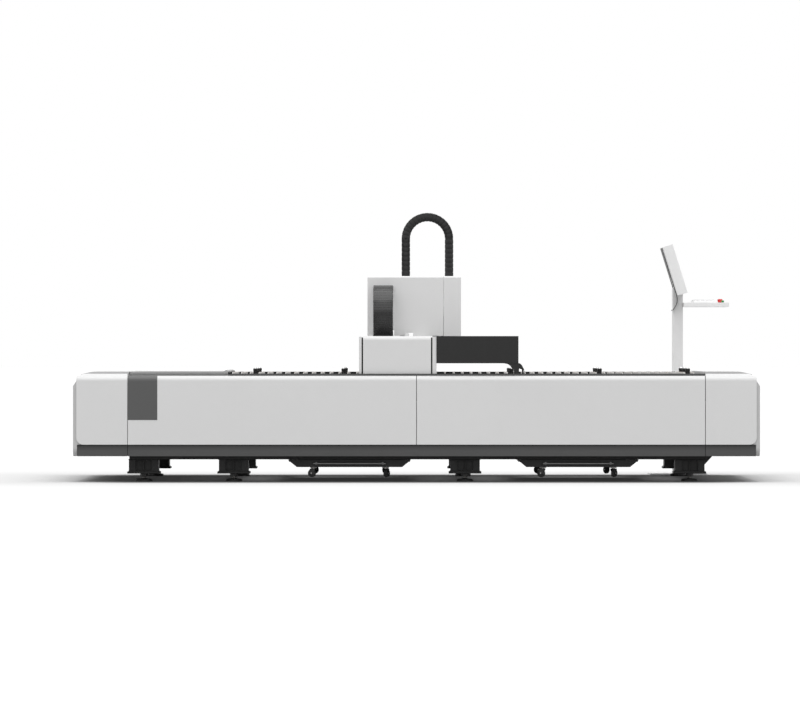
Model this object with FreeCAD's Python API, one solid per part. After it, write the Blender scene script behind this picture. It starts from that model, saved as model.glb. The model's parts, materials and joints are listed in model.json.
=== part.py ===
import FreeCAD, Part
import math
import os

from FreeCAD import Vector

# Flat-bed fiber laser cutting machine: a welded bed on eight short legs, a gantry that runs along it on two rails,
# a carriage that crosses the gantry, a cutting head on a vertical slide, and an operator's console beside the bed.
# Millimetres. X runs along the bed, Y across it, Z up, the floor is z = 0 and the bed's middle is x = y = 0
# until the pieces are written, when they all move to the centre of the footprint.

# ---------------------------------------------------------------- driving dimensions
seat = 0.3                  # gap between pieces that move past or rest on each other
running_gap = 0.05          # radial gap of a shaft in its bore
sheet = 3.0                 # folded steel sheet

bed_half_length = 2346.0    # to the outer face of the corner panels
bed_half_width = 1200.0     # to the outer face of the side panels
corner_panel_length = 354.0
seam_x = bed_half_length - corner_panel_length   # where the long panels meet the corner panels
panel_gap = 4.0             # seam between two panels
panel_bottom = 258.0
panel_top = 733.0
panel_edge_radius = 35.0
panel_corner_radius = 48.0
panel_flange = 38.0         # width of the folded top edge
skirt_bottom = 178.0
skirt_setback = 5.0
skirt_flange = 40.0

end_cover_depth = 23.0      # how far the end covers stand proud
end_cover_top = 662.0
end_cover_slope = 35.0
end_cover_radius = 60.0
end_cap_top = 762.0
end_cap_flat_x = bed_half_length - 106.0
end_cap_outer_x = bed_half_length - 24.0
end_cap_outer_z = 744.0

leg_end_inset = 104.0
leg_xs = (-seam_x + leg_end_inset, -1265.0, 336.0, seam_x - leg_end_inset + 3.0)
leg_width = 204.0
leg_depth = 190.0
leg_setback = 150.0
leg_front_y = bed_half_width - leg_setback
leg_recess_width = 110.0
leg_recess_depth = 30.0
leg_rib = 8.0
leg_flange_width = 226.0
leg_flange = 14.0
foot_pad_radius = 58.5
foot_pad_height = 21.0
foot_height = 56.0
foot_nut_flats = 48.0
foot_stud_radius = 12.0
foot_stud_reach = 10.0

chassis_bottom = 154.0
chassis_top = 258.0
chassis_left_x = -seam_x + 5.0
chassis_right_x = seam_x - 7.0
chassis_width = 150.0
chassis_wall = 8.0
gusset_reach = 63.0
gusset_drop = 33.0

beam_setback = 140.0
beam_width = 200.0
beam_outer_y = bed_half_width - beam_setback
beam_inner_y = beam_outer_y - beam_width
beam_top = 715.0
beam_wall = 10.0

rail_y = beam_outer_y - beam_width / 2
rail_width = 30.0
rail_height = 30.0
rail_half_length = seam_x - 7.0
rack_inner_y = rail_y + 50.0
rack_width = 25.0
rack_height = 30.0

trough_setback = 40.0
trough_outer_y = bed_half_width - trough_setback
trough_floor = 560.0
trough_sheet = 2.0
trough_lip = 747.0
trough_inner_top = 712.0
trough_left_x = -1300.0
trough_right_x = bed_half_length - 56.0
chain_width = 60.0
chain_height = 40.0
chain_end_length = 15.0

member_width = 100.0
member_height = 98.0
member_wall = 6.0

slat_spacing = 61.7
slat_first_x = -1280.0
slat_count = 53
slat_thickness = 6.0
slat_half_length = beam_inner_y - 60.0
slat_tip = 757.0
slat_valley = 749.0
slat_bottom = 700.0
slat_teeth = 18
slot_gap = 0.3
table_plate_y = slat_half_length - 14.0
table_plate = 8.0
table_top = 740.0
table_bottom = 640.0
table_left_x = -1306.0
table_right_x = 1984.0
ledge_thickness = 8.0
ledge_height = 60.0

ball_count = 6
ball_pitch_x = 598.0
ball_bar = 24.0
ball_bar_bottom = 716.0
ball_row_y = slat_half_length * 0.7
ball_rows = (-ball_row_y, 0.0, ball_row_y)
ball_unit_radius = 17.0
ball_radius = 11.0
ball_top = 791.0

deck_seat = 20.0            # how far the parking deck reaches onto the beams
deck_bottom = 754.0
deck_thickness = 6.0
deck_bearer_width = 18.0
ramp_length = 44.0
ramp_height = 12.0

badge_left_x = -seam_x - 2.0
badge_width = 207.0
badge_bottom = 428.0
badge_thickness = 1.5

drawer_left_top = (-879.0, -48.0)
drawer_right_top = (709.0, 1528.0)
drawer_top = 152.0
drawer_bottom = 101.0
drawer_front_y = leg_front_y + 12.0
drawer_front_thickness = 4.0
drawer_length = 1400.0
drawer_wall = 3.0
drawer_lip = 20.0
drawer_lip_z = 141.5
drawer_handle_inset = 165.0
drawer_handle_z = 126.0
drawer_handle_radius = 6.0
drawer_handle_reach = 26.0
caster_inset = 166.0
caster_row_pitch = 1290.0
caster_wheel_radius = 25.0
caster_wheel_width = 20.0
caster_bottom = 35.0
caster_fork = 3.0
caster_turns = (20.0, -65.0, 110.0, 40.0)
runner_web = 4.0

gantry_x = -135.0
end_box_left_x = -397.0
end_box_right_x = 138.0
end_box_bottom = 765.0
end_box_top = 1000.0
end_box_inner_y = beam_inner_y + 12.0
end_box_outer_y = rail_y + 55.0
end_box_wall = 8.0
motor_shelf = 10.0
gantry_beam_left_x = -340.0
gantry_beam_right_x = 70.0
gantry_beam_bottom = 800.0
gantry_beam_wall = 8.0
cover_left_x = -369.0
cover_right_x = 100.0
cover_outer_y = trough_outer_y - 20.0
cover_bottom = 746.0
cover_front_bottom = 737.0
cheek_groove = 10.0
cheek_top = 1003.0
cover_top = 1007.0
cover_radius = 30.0
block_length = 110.0
block_width = 70.0
block_offset = 190.0
block_skirt = 12.0
motor_width = 90.0
motor_length = 150.0
motor_flange = 12.0
motor_plug = 30.0
shaft_radius = 8.0
shaft_reach = 10.0
pinion_radius = 30.0
pinion_height = 22.0

duct_right_x = 704.0
duct_bottom = 819.0
duct_top = 1007.0
duct_outer_y = trough_outer_y - 14.0
duct_inner_y = rail_y
duct_wall = 3.0
claw_left_x = 673.0
claw_leg = 24.0
claw_right_x = 738.0
claw_thin_leg = 10.0
claw_shoulder_x = 593.0
claw_shoulder_z = 769.0

x_travel = 1500.0
y_travel = 750.0

y_rail_zs = (840.0, 960.0)
y_rail_width = 24.0
y_rail_depth = 22.0
y_rail_half_length = end_box_inner_y - 12.0
y_rack_right_x = -30.0
y_rack_width = 30.0
y_rack_height = 28.0
y_chain_left_x = -302.0
y_chain_right_x = -164.0
y_chain_radius = 180.0
y_chain_top = 1365.0
tray_thickness = 5.0
tray_lip = 10.0
tray_margin = 3.0

carriage_left_x = -346.0
carriage_half_width = 165.0
carriage_top = 1433.0
carriage_seam_x = 191.0
carriage_right_x = 314.0
carriage_cover_wall = 3.0
carriage_edge_radius = 14.0
apron_bottom = 1012.0
rack_clearance = 6.0
carriage_plate_x = 112.0
carriage_plate = 18.0
upright_foot_half_width = 115.0
carriage_plate_bottom = 806.0
carriage_plate_top = 1400.0
saddle_left_x = -330.0
saddle_bottom = 1052.0
saddle_thickness = 14.0
y_block_y = 80.0
y_block_length = 60.0
y_block_width = 60.0
y_motor_length = 170.0
saddle_rib_height = 200.0
saddle_rib_length = 150.0

z_rail_y = 90.0
z_rail_width = 20.0
z_rail_depth = 15.0
z_rail_bottom = 860.0
z_rail_top = 1370.0
z_plate_x = 176.0
z_plate = 14.0
z_plate_half_width = 130.0
z_tab_height = 80.0
z_tab_reach = 38.0
z_tab = 6.0
z_plate_bottom = 930.0
z_plate_top = 1290.0
z_block_length = 60.0
z_block_width = 44.0
z_block_inset = 50.0
screw_radius = 8.0
screw_x = 153.0
screw_bottom = 880.0
screw_foot = 18.0
screw_foot_half = 22.0
z_motor_width = 44.0
z_motor_bottom = 1335.0
z_motor_top = 1412.0
nut_radius = 14.0
nut_height = 40.0
z_cover_bottom = 950.0

head_x = 250.0
head_width = 84.0
head_depth = 70.0
head_bottom = 925.0
head_top = 1260.0
head_neck_radius = 24.0
head_neck_bottom = 868.0
nozzle_tip = 830.0
nozzle_radius = 14.0
nozzle_tip_radius = 4.0
nozzle_bore = 1.5

z_chain_x = 77.5
z_chain_radius = 183.0
z_chain_thickness = 60.0
z_chain_half_width = 32.0
z_chain_top = 1882.0

console_y = bed_half_width + 290.0
console_base_length = 420.0
console_base_width = 460.0
console_base_height = 12.0
console_anchor_radius = 7.0
console_anchor_inset = 30.0
column_left_x = 1874.0
column_depth = 73.0
column_half_width = 90.0
column_top = 1300.0
column_wall = 4.0
monitor_half_width = 260.0
monitor_top_x = 1793.0
monitor_top = 1660.0
monitor_bottom_x = 1903.0
monitor_bottom = 1308.0
monitor_thickness = 75.0
screen_margin = 30.0
screen_thickness = 4.0
shelf_length = 330.0
shelf_bottom = 1227.0
shelf_thickness = 30.0
shelf_half_width = 245.0
keyboard_length = 170.0
keyboard_half_width = 200.0
keyboard_height = 16.0
keyboard_back_gap = 70.0
button_margin = 45.0
e_stop_radius = 20.0
e_stop_height = 26.0
start_radius = 12.0
start_height = 12.0
button_stem_radius = 6.0
button_travel = 4.0
trunk_width = 120.0
trunk_height = 60.0
trunk_wall = 2.0

# ---------------------------------------------------------------- derived places
far_extreme_y = console_y + monitor_half_width
near_extreme_y = bed_half_width + badge_thickness
beam_half_length = bed_half_length - panel_flange - seat
deck_plate_half_width = beam_inner_y + deck_seat
carriage_plate_half_width = carriage_half_width - carriage_cover_wall - seat
footprint_centre_y = (far_extreme_y - near_extreme_y) / 2.0
column_right_x = column_left_x + column_depth
chassis_outer_y = leg_front_y
chassis_inner_y = chassis_outer_y - chassis_width
skirt_outer_y = bed_half_width - skirt_setback
x_pinion_y = rack_inner_y + rack_width + pinion_radius + seat
x_pinion_bottom = beam_top + 4.0
chain_centre_y = (trough_outer_y + beam_outer_y) / 2.0
x_chain_bottom = trough_floor + trough_sheet
x_chain_radius = (trough_inner_top - x_chain_bottom) / 2.0
x_chain_centre_z = x_chain_bottom + x_chain_radius
x_chain_end_x = claw_right_x
x_chain_bend_x = x_chain_end_x - x_travel / 2.0 - chain_end_length
y_chain_bottom = end_box_top + tray_thickness
y_chain_centre_z = y_chain_bottom + y_chain_radius
y_chain_end_y = carriage_half_width
y_chain_bend_y = y_chain_end_y + y_travel / 2.0 + chain_end_length
y_pinion_x = y_rack_right_x - y_rack_width - pinion_radius - seat
y_pinion_bottom = end_box_top + 4.0
deck_top = deck_bottom + deck_thickness
drawer_tops = (drawer_left_top, drawer_right_top)
drawer_slope = drawer_top - drawer_bottom

os.makedirs("parts", exist_ok=True)


def box(x0, x1, y0, y1, z0, z1):
    return Part.makeBox(x1 - x0, y1 - y0, z1 - z0, Vector(x0, y0, z0))


def cylinder(x, y, z0, z1, radius):
    return Part.makeCylinder(radius, z1 - z0, Vector(x, y, z0), Vector(0, 0, 1))


def rod(start, end, radius):
    along = end.sub(start)
    return Part.makeCylinder(radius, along.Length, start, along)


def prism(points, along):
    """The solid swept by a flat polygon moved by the vector along."""
    wire = Part.makePolygon(list(points) + [points[0]])
    return Part.Face(wire).extrude(along)


def prism_y(xz, y0, y1):
    return prism([Vector(x, y0, z) for x, z in xz], Vector(0, y1 - y0, 0))


def prism_x(yz, x0, x1):
    return prism([Vector(x0, y, z) for y, z in yz], Vector(x1 - x0, 0, 0))


def prism_z(xy, z0, z1):
    return prism([Vector(x, y, z0) for x, y in xy], Vector(0, 0, z1 - z0))


def tube_x(x0, x1, y0, y1, z0, z1, wall):
    inner = box(x0 - 1, x1 + 1, y0 + wall, y1 - wall, z0 + wall, z1 - wall)
    return box(x0, x1, y0, y1, z0, z1).cut(inner)


def tube_y(x0, x1, y0, y1, z0, z1, wall):
    inner = box(x0 + wall, x1 - wall, y0 - 1, y1 + 1, z0 + wall, z1 - wall)
    return box(x0, x1, y0, y1, z0, z1).cut(inner)


def tube_z(x0, x1, y0, y1, z0, z1, wall):
    inner = box(x0 + wall, x1 - wall, y0 + wall, y1 - wall, z0 - 1, z1 + 1)
    return box(x0, x1, y0, y1, z0, z1).cut(inner)


def closed_box(x0, x1, y0, y1, z0, z1, wall):
    inner = box(x0 + wall, x1 - wall, y0 + wall, y1 - wall, z0 + wall, z1 - wall)
    return box(x0, x1, y0, y1, z0, z1).cut(inner)


def mirrored(shape):
    """The same piece on the other side of the bed."""
    return shape.mirror(Vector(0, 0, 0), Vector(0, 1, 0))


def hexagon(x, y, z0, z1, flats):
    corner = flats / math.sqrt(3)
    turns = [math.radians(60 * n) for n in range(6)]
    return prism_z([(x + corner * math.cos(a), y + corner * math.sin(a)) for a in turns], z0, z1)


def fused(shapes):
    whole = shapes[0]
    for shape in shapes[1:]:
        whole = whole.fuse(shape)
    return whole.removeSplitter()


def along_axis(edge, axis):
    if len(edge.Vertexes) != 2:
        return False
    ends = [v.Point for v in edge.Vertexes]
    way = ends[1].sub(ends[0])
    return way.Length > 1e-6 and abs(abs(way.dot(axis)) / way.Length - 1) < 1e-6


def rounded(shape, radius, axis, test):
    """Rounds the straight edges that run along the axis and pass the test of their middle point."""
    edges = [e for e in shape.Edges if along_axis(e, axis) and test(e.CenterOfMass)]
    return shape.makeFillet(radius, edges)


def export(node, *shapes):
    moved = [s.translated(Vector(0, -footprint_centre_y, 0)) for s in shapes]
    whole = moved[0] if len(moved) == 1 else Part.makeCompound(moved)
    whole.exportStep("parts/" + node + ".step")


AXIS_X = Vector(1, 0, 0)
AXIS_Y = Vector(0, 1, 0)
AXIS_Z = Vector(0, 0, 1)


# ---------------------------------------------------------------- welded bed
def side_beam():
    """Open-ended box beam with the brackets that hold the panels out from it; drawn on the far side."""
    beam = tube_x(-beam_half_length, beam_half_length, beam_inner_y, beam_outer_y, chassis_top, beam_top, beam_wall)
    bracket_reach = bed_half_width - sheet - seat
    brackets = []
    corner_x = (seam_x + bed_half_length) / 2
    for x in leg_xs + ((leg_xs[1] + leg_xs[2]) / 2, (leg_xs[2] + leg_xs[3]) / 2, -corner_x, corner_x):
        for z in (panel_bottom + 40.0, trough_floor - 40.0):
            brackets.append(box(x - 20, x + 20, beam_outer_y - 1, bracket_reach, z - 4, z + 4))
    return fused([beam] + brackets)


def chassis_rail():
    """Lower box rail on the legs, with a sloped end plate and the brackets of the skirt."""
    rail = tube_x(chassis_left_x, chassis_right_x, chassis_inner_y, chassis_outer_y,
                  chassis_bottom, chassis_top, chassis_wall)
    end_x = chassis_right_x + gusset_reach
    slope = (skirt_bottom - chassis_bottom + gusset_drop) * 0.92
    foot_x = leg_xs[-1] + leg_width / 2 + seat
    foot_z = chassis_bottom - gusset_drop
    plate = prism_y([(chassis_right_x - 1, chassis_top), (end_x, chassis_top), (end_x, skirt_bottom),
                     (end_x - slope, foot_z), (foot_x, foot_z), (foot_x, chassis_bottom),
                     (chassis_right_x - 1, chassis_bottom)],
                    chassis_outer_y - chassis_wall, chassis_outer_y)
    brackets = []
    bracket_z = (skirt_bottom + chassis_top) / 2
    for x in leg_xs:
        brackets.append(box(x - 20, x + 20, chassis_outer_y - 1, skirt_outer_y - sheet - seat,
                            bracket_z - 4, bracket_z + 4))
    return fused([rail, plate] + brackets)


def member_xs():
    """Cross members stand over the legs and over both edges of each drawer."""
    places = list(leg_xs)
    for left, right in drawer_tops:
        places += [left - member_width / 2 + 14, right + member_width / 2 - 14]
    return sorted(places)


def leg(x):
    """Welded post with a ribbed recess in its front and a foot plate; drawn on the near side."""
    y0 = -leg_front_y
    y1 = y0 + leg_depth
    z0 = foot_height
    z1 = z0 + leg_flange
    post = box(x - leg_width / 2, x + leg_width / 2, y0, y1, z1 - 1, chassis_bottom)
    recess = box(x - leg_recess_width / 2, x + leg_recess_width / 2, y0 - 1, y0 + leg_recess_depth,
                 z1 + 8, chassis_bottom - 8)
    rib = box(x - leg_rib / 2, x + leg_rib / 2, y0 + 2, y0 + leg_recess_depth + 1, z1 + 7, chassis_bottom - 7)
    margin = (leg_flange_width - leg_width) / 2
    plate = box(x - leg_flange_width / 2, x + leg_flange_width / 2, y0 - 4, y1 + margin, z0, z1)
    hole = cylinder(x, (y0 + y1) / 2, z0 - 1, z1 + foot_stud_reach, foot_stud_radius + seat)
    return fused([post.cut(recess), rib, plate]).cut(hole)


def leveling_foot(x, y):
    """Round rubber-faced pad with a hexagon nut and the stud that screws into the leg."""
    pad = cylinder(x, y, 0, foot_pad_height, foot_pad_radius)
    pad = pad.makeFillet(5.0, [e for e in pad.Edges if e.CenterOfMass.z > foot_pad_height - 1])
    nut = hexagon(x, y, foot_pad_height - 1, foot_height, foot_nut_flats)
    stud = cylinder(x, y, foot_height - 1, foot_height + foot_stud_reach, foot_stud_radius)
    return fused([pad, nut, stud])


far_beam = side_beam()
export("side_beam_far", far_beam)
export("side_beam_near", mirrored(far_beam))
far_chassis = chassis_rail()
export("chassis_rails", mirrored(far_chassis), far_chassis)
export("cross_members", *[
    tube_y(x - member_width / 2, x + member_width / 2, -chassis_inner_y, chassis_inner_y,
           chassis_top - member_height, chassis_top, member_wall)
    for x in member_xs()])
near_legs = [leg(x) for x in leg_xs]
export("legs", *(near_legs + [mirrored(s) for s in near_legs]))
foot_y = leg_front_y - leg_depth / 2
export("leveling_feet", *[leveling_foot(x, side * foot_y) for side in (-1, 1) for x in leg_xs])


# ---------------------------------------------------------------- rails, racks and cable troughs
def side_pair(shape):
    return mirrored(shape), shape


def linear_rail_section(half_width, depth):
    """Waisted rail profile: a wide foot, a narrow waist and a wide head."""
    waist = half_width * 0.72
    return [(-half_width, 0), (half_width, 0), (half_width, depth * 0.35), (waist, depth * 0.5),
            (waist, depth * 0.65), (half_width, depth * 0.8), (half_width, depth),
            (-half_width, depth), (-half_width, depth * 0.8), (-waist, depth * 0.65),
            (-waist, depth * 0.5), (-half_width, depth * 0.35)]


x_rail = prism_x([(rail_y + y, beam_top + z) for y, z in linear_rail_section(rail_width / 2, rail_height)],
                 -rail_half_length, rail_half_length)
x_rack = box(-rail_half_length, rail_half_length, rack_inner_y, rack_inner_y + rack_width,
             beam_top, beam_top + rack_height)
export("x_rails_and_racks", *(side_pair(x_rail) + side_pair(x_rack)))


def trough():
    """Folded channel beside the beam; its outer lip is taller where no cap covers it. Drawn on the far side."""
    floor = box(trough_left_x, trough_right_x, beam_outer_y, trough_outer_y,
                trough_floor, trough_floor + trough_sheet)
    inner = box(trough_left_x, trough_right_x, beam_outer_y, beam_outer_y + trough_sheet,
                trough_floor, trough_inner_top)
    outer = box(trough_left_x, trough_right_x, trough_outer_y - trough_sheet, trough_outer_y,
                trough_floor, panel_top - sheet)
    lip = box(trough_left_x, seam_x, trough_outer_y - trough_sheet, trough_outer_y, trough_floor, trough_lip)
    return fused([floor, inner, outer, lip])


export("cable_troughs", *side_pair(trough()))


# ---------------------------------------------------------------- drag chain pieces
def chain_bend_x(x, z, radius, y0, y1, height):
    """Half ring that opens towards +X."""
    ring = Part.makeCylinder(radius, y1 - y0, Vector(x, y0, z), AXIS_Y)
    ring = ring.cut(Part.makeCylinder(radius - height, y1 - y0, Vector(x, y0, z), AXIS_Y))
    return ring.cut(box(x, x + radius + 1, y0 - 1, y1 + 1, z - radius - 1, z + radius + 1))


chain_y0 = -chain_centre_y - chain_width / 2
chain_y1 = chain_y0 + chain_width
x_chain_top_z = x_chain_centre_z + x_chain_radius
run_start_x = x_chain_bend_x + seat
export("x_chain_lower", box(run_start_x, x_chain_end_x, chain_y0, chain_y1,
                            x_chain_bottom + seat, x_chain_bottom + chain_height))
export("x_chain_upper", box(run_start_x, x_chain_end_x, chain_y0, chain_y1,
                            x_chain_top_z - chain_height, x_chain_top_z))
export("x_chain_bend", chain_bend_x(x_chain_bend_x, x_chain_centre_z, x_chain_radius - seat,
                                    chain_y0, chain_y1, chain_height))


# ---------------------------------------------------------------- cutting table
def slat_xs():
    return [slat_first_x + slat_spacing * n for n in range(slat_count)]


def slat(x):
    """Thin bar on edge with a row of pointed teeth along its top."""
    pitch = 2 * slat_half_length / slat_teeth
    outline = [(slat_half_length, slat_bottom + slot_gap), (-slat_half_length, slat_bottom + slot_gap)]
    for n in range(slat_teeth):
        start = -slat_half_length + n * pitch
        outline += [(start, slat_valley), (start + pitch / 2, slat_tip)]
    outline.append((slat_half_length, slat_valley))
    return prism_x(outline, x - slat_thickness / 2, x + slat_thickness / 2)


def comb_plate():
    """Long side plate of the table, slotted from above for the slats; drawn on the far side."""
    outline = [(table_right_x, table_top), (table_right_x, table_bottom), (table_left_x, table_bottom),
               (table_left_x, table_top)]
    half = slat_thickness / 2 + slot_gap
    for x in slat_xs():
        if x + half < table_right_x and x - half > table_left_x:
            outline += [(x - half, table_top), (x - half, slat_bottom), (x + half, slat_bottom), (x + half, table_top)]
    return prism_y(outline, table_plate_y, table_plate_y + table_plate)


far_comb = comb_plate()
end_bars = [box(x0, x1, -table_plate_y, table_plate_y, table_bottom, table_top)
            for x0, x1 in ((table_left_x, table_left_x + table_plate), (table_right_x - table_plate, table_right_x))]
export("slat_frame", fused([mirrored(far_comb), far_comb] + end_bars))
export("slats", *[slat(x) for x in slat_xs()])


def ball_bar_xs():
    """The ball supports stand in the gaps between slats, about 0.6 m apart."""
    places = []
    for n in range(ball_count):
        wished = slat_first_x + 2.6 * slat_spacing + n * ball_pitch_x
        gap = round((wished - slat_first_x) / slat_spacing - 0.5)
        places.append(slat_first_x + (gap + 0.5) * slat_spacing)
    return [x for x in places if x + ball_bar / 2 < table_right_x - table_plate]


def ball_support(x):
    """Square bar across the table with a ball transfer unit on each post."""
    bar = box(x - ball_bar / 2, x + ball_bar / 2, -table_plate_y, table_plate_y,
              ball_bar_bottom, ball_bar_bottom + ball_bar)
    pieces = [bar]
    for y in ball_rows:
        ball_z = ball_top - ball_radius
        pieces.append(cylinder(x, y, ball_bar_bottom + 1, ball_z - 2, ball_unit_radius * 0.6))
        pieces.append(cylinder(x, y, ball_z - 14, ball_z + 2, ball_unit_radius))
        pieces.append(Part.makeSphere(ball_radius, Vector(x, y, ball_z)))
    return fused(pieces)


export("ball_supports", *[ball_support(x) for x in ball_bar_xs()])


def ledge():
    """Angle welded inside the beam; the table stands on it. Drawn on the far side."""
    y0 = table_plate_y - 6
    z1 = table_bottom
    flat = box(table_left_x, table_right_x, y0, beam_inner_y, z1 - ledge_thickness, z1)
    web = box(table_left_x, table_right_x, beam_inner_y - ledge_thickness, beam_inner_y, z1 - ledge_height, z1)
    return fused([flat, web])


def deck_bearer():
    """Bar along the beam's inner top edge that carries the parking deck; drawn on the far side."""
    y1 = deck_plate_half_width
    return box(-seam_x + panel_gap, table_left_x - panel_gap, y1 - deck_bearer_width, y1, beam_top, deck_bottom)


export("table_ledges", *(side_pair(ledge()) + side_pair(deck_bearer())))
deck_right_x = table_left_x - panel_gap
deck = box(-seam_x + panel_gap, deck_right_x, -deck_plate_half_width, deck_plate_half_width, deck_bottom, deck_top)
ramp = prism_y([(deck_right_x - ramp_length, deck_top - 1), (deck_right_x, deck_top - 1),
                (deck_right_x, deck_top + ramp_height * 0.4),
                (deck_right_x - ramp_length * 0.35, deck_top + ramp_height)],
               -table_plate_y, table_plate_y)
export("deck_plate", fused([deck, ramp]))


# ---------------------------------------------------------------- panels, skirts and covers
def panel(x0, x1, round_corner):
    """Folded side panel with a rounded top edge; a corner panel also has a rounded lower outer corner."""
    y0 = -bed_half_width
    body = box(x0, x1, y0, y0 + panel_flange, panel_bottom, panel_top)
    body = rounded(body, panel_edge_radius, AXIS_X, lambda p: p.y < y0 + 1 and p.z > panel_top - 1)
    inner = box(x0 - 1, x1 + 1, y0 + sheet, y0 + panel_flange + 1, panel_bottom - 1, panel_top - sheet)
    inner = rounded(inner, panel_edge_radius - sheet, AXIS_X,
                    lambda p: p.y < y0 + sheet + 1 and p.z > panel_top - sheet - 1)
    body = body.cut(inner)
    if round_corner:
        outer_x = x0 if x0 < 0 else x1
        sense = -1 if x0 < 0 else 1
        centre_x = outer_x - sense * panel_corner_radius
        square = box(min(centre_x, outer_x), max(centre_x, outer_x), y0 - 1, y0 + panel_flange + 1,
                     panel_bottom - 1, panel_bottom + panel_corner_radius)
        disc = Part.makeCylinder(panel_corner_radius, panel_flange + 4,
                                 Vector(centre_x, y0 - 2, panel_bottom + panel_corner_radius), AXIS_Y)
        body = body.cut(square.cut(disc))
    return body


half_gap = panel_gap / 2
near_left = panel(-seam_x + half_gap, -half_gap, False)
near_right = panel(half_gap, seam_x - half_gap, False)
corner_left = panel(-bed_half_length, -seam_x - half_gap, True)
corner_right = panel(seam_x + half_gap, bed_half_length, True)
export("side_panel_near_left", near_left)
export("side_panel_near_right", near_right)
export("side_panels_far", mirrored(near_left), mirrored(near_right))
export("corner_panels", corner_left, corner_right, mirrored(corner_left), mirrored(corner_right))


def skirt(x0, x1):
    """Dark plinth under the panels with a flange that carries them; drawn on the near side."""
    y0 = -skirt_outer_y
    plate = box(x0, x1, y0, y0 + sheet, skirt_bottom, panel_bottom)
    flange = box(max(x0, -beam_half_length), min(x1, beam_half_length), y0, y0 + skirt_flange,
                 panel_bottom - sheet, panel_bottom)
    return fused([plate, flange])


skirt_end_x = bed_half_length - skirt_setback
near_skirts = [skirt(-skirt_end_x, -seam_x - half_gap), skirt(-seam_x + half_gap, seam_x - half_gap),
               skirt(seam_x + half_gap, skirt_end_x)]
export("skirts", *(near_skirts + [mirrored(s) for s in near_skirts]))


def end_cover():
    """Deep folded cover over the bed's right end, with rounded lower corners and a sloped top edge."""
    x0 = bed_half_length - panel_flange
    x1 = bed_half_length + end_cover_depth
    y1 = skirt_outer_y - sheet - seat
    outer = prism_y([(x0, skirt_bottom), (x1, skirt_bottom), (x1, end_cover_top),
                     (bed_half_length, end_cover_top + end_cover_slope), (x0, end_cover_top + end_cover_slope)],
                    -y1, y1)
    outer = rounded(outer, end_cover_radius, AXIS_X, lambda p: p.z < skirt_bottom + 1)
    low = skirt_bottom + sheet
    high = end_cover_top + end_cover_slope - sheet
    inner = prism_y([(x0 - 1, low), (x1 - sheet, low), (x1 - sheet, end_cover_top - sheet / 2),
                     (bed_half_length - sheet / 2, high), (x0 - 1, high)], -y1 + sheet, y1 - sheet)
    inner = rounded(inner, end_cover_radius - sheet, AXIS_X, lambda p: p.z < low + 1)
    return outer.cut(inner)


def swapped_end(shape):
    """The same piece at the other end of the bed."""
    return shape.mirror(Vector(0, 0, 0), Vector(1, 0, 0))


right_cover = end_cover()
export("end_covers", swapped_end(right_cover), right_cover)


def end_cap():
    """Raised cap over the table's right end: flat on top, then sloping down to the end."""
    x0 = seam_x + half_gap
    y1 = beam_outer_y
    foot = beam_top
    top = [(x0, end_cap_top), (end_cap_flat_x, end_cap_top), (end_cap_outer_x, end_cap_outer_z),
           (end_cap_outer_x, foot), (x0, foot)]
    outer = prism_y(top, -y1, y1)
    inner = prism_y([(x0 + sheet, end_cap_top - sheet), (end_cap_flat_x - 1, end_cap_top - sheet),
                     (end_cap_outer_x - sheet, end_cap_outer_z - sheet),
                     (end_cap_outer_x - sheet, foot - 1), (x0 + sheet, foot - 1)],
                    -y1 + sheet, y1 - sheet)
    return outer.cut(inner)


right_cap = end_cap()
export("end_caps", swapped_end(right_cap), right_cap)

badge_y = -bed_half_width - badge_thickness
badge = box(badge_left_x + panel_gap, badge_left_x + badge_width, badge_y, badge_y + badge_thickness,
            badge_bottom, panel_top - panel_edge_radius)
export("badge_panel", badge)


# ---------------------------------------------------------------- slag drawers
def runner(x, sense):
    """Angle under a cross member that carries one lip of a drawer; sense points into the drawer."""
    y0 = -drawer_front_y + drawer_front_thickness + 8
    y1 = y0 + drawer_length - 60
    x_lip = x + sense * (drawer_lip - 3)
    web_x0 = min(x - sense * runner_web, x)
    web_x1 = max(x - sense * runner_web, x)
    web = box(web_x0, web_x1, y0, y1, drawer_lip_z - 4, chassis_bottom)
    crest = box(web_x0, web_x1, -chassis_inner_y, y1, chassis_bottom - 1, chassis_top - member_height)
    foot = box(min(x - sense * runner_web, x_lip), max(x - sense * runner_web, x_lip), y0, y1,
               drawer_lip_z - 4, drawer_lip_z - seat)
    return fused([web, crest, foot])


def drawer(left, right):
    """Shallow open tray with side lips, a sloped-end front plate and a bar handle."""
    y0 = -drawer_front_y
    body_left = left + drawer_lip
    body_right = right - drawer_lip
    back_y = y0 + drawer_length
    tray_y = y0 + drawer_front_thickness - 1
    top = drawer_lip_z + drawer_wall
    tray = box(body_left, body_right, tray_y, back_y, drawer_bottom, top)
    hollow = box(body_left + drawer_wall, body_right - drawer_wall, tray_y + drawer_wall + 1, back_y - drawer_wall,
                 drawer_bottom + drawer_wall, top + 1)
    lips = [box(left + seat, body_left + 1, tray_y + 12, back_y, drawer_lip_z, top),
            box(body_right - 1, right - seat, tray_y + 12, back_y, drawer_lip_z, top)]
    front = prism_y([(left, drawer_top), (right, drawer_top), (right - drawer_slope, drawer_bottom),
                     (left + drawer_slope, drawer_bottom)], y0, y0 + drawer_front_thickness)
    bar_y = y0 - drawer_handle_reach
    bar_left = left + drawer_handle_inset
    bar_right = right - drawer_handle_inset
    handle = [rod(Vector(bar_left, bar_y, drawer_handle_z), Vector(bar_right, bar_y, drawer_handle_z),
                  drawer_handle_radius)]
    for x in (bar_left + 20, bar_right - 20):
        handle.append(rod(Vector(x, bar_y, drawer_handle_z), Vector(x, y0 + 1, drawer_handle_z),
                          drawer_handle_radius))
    return fused([tray.cut(hollow)] + lips + [front] + handle)


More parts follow.
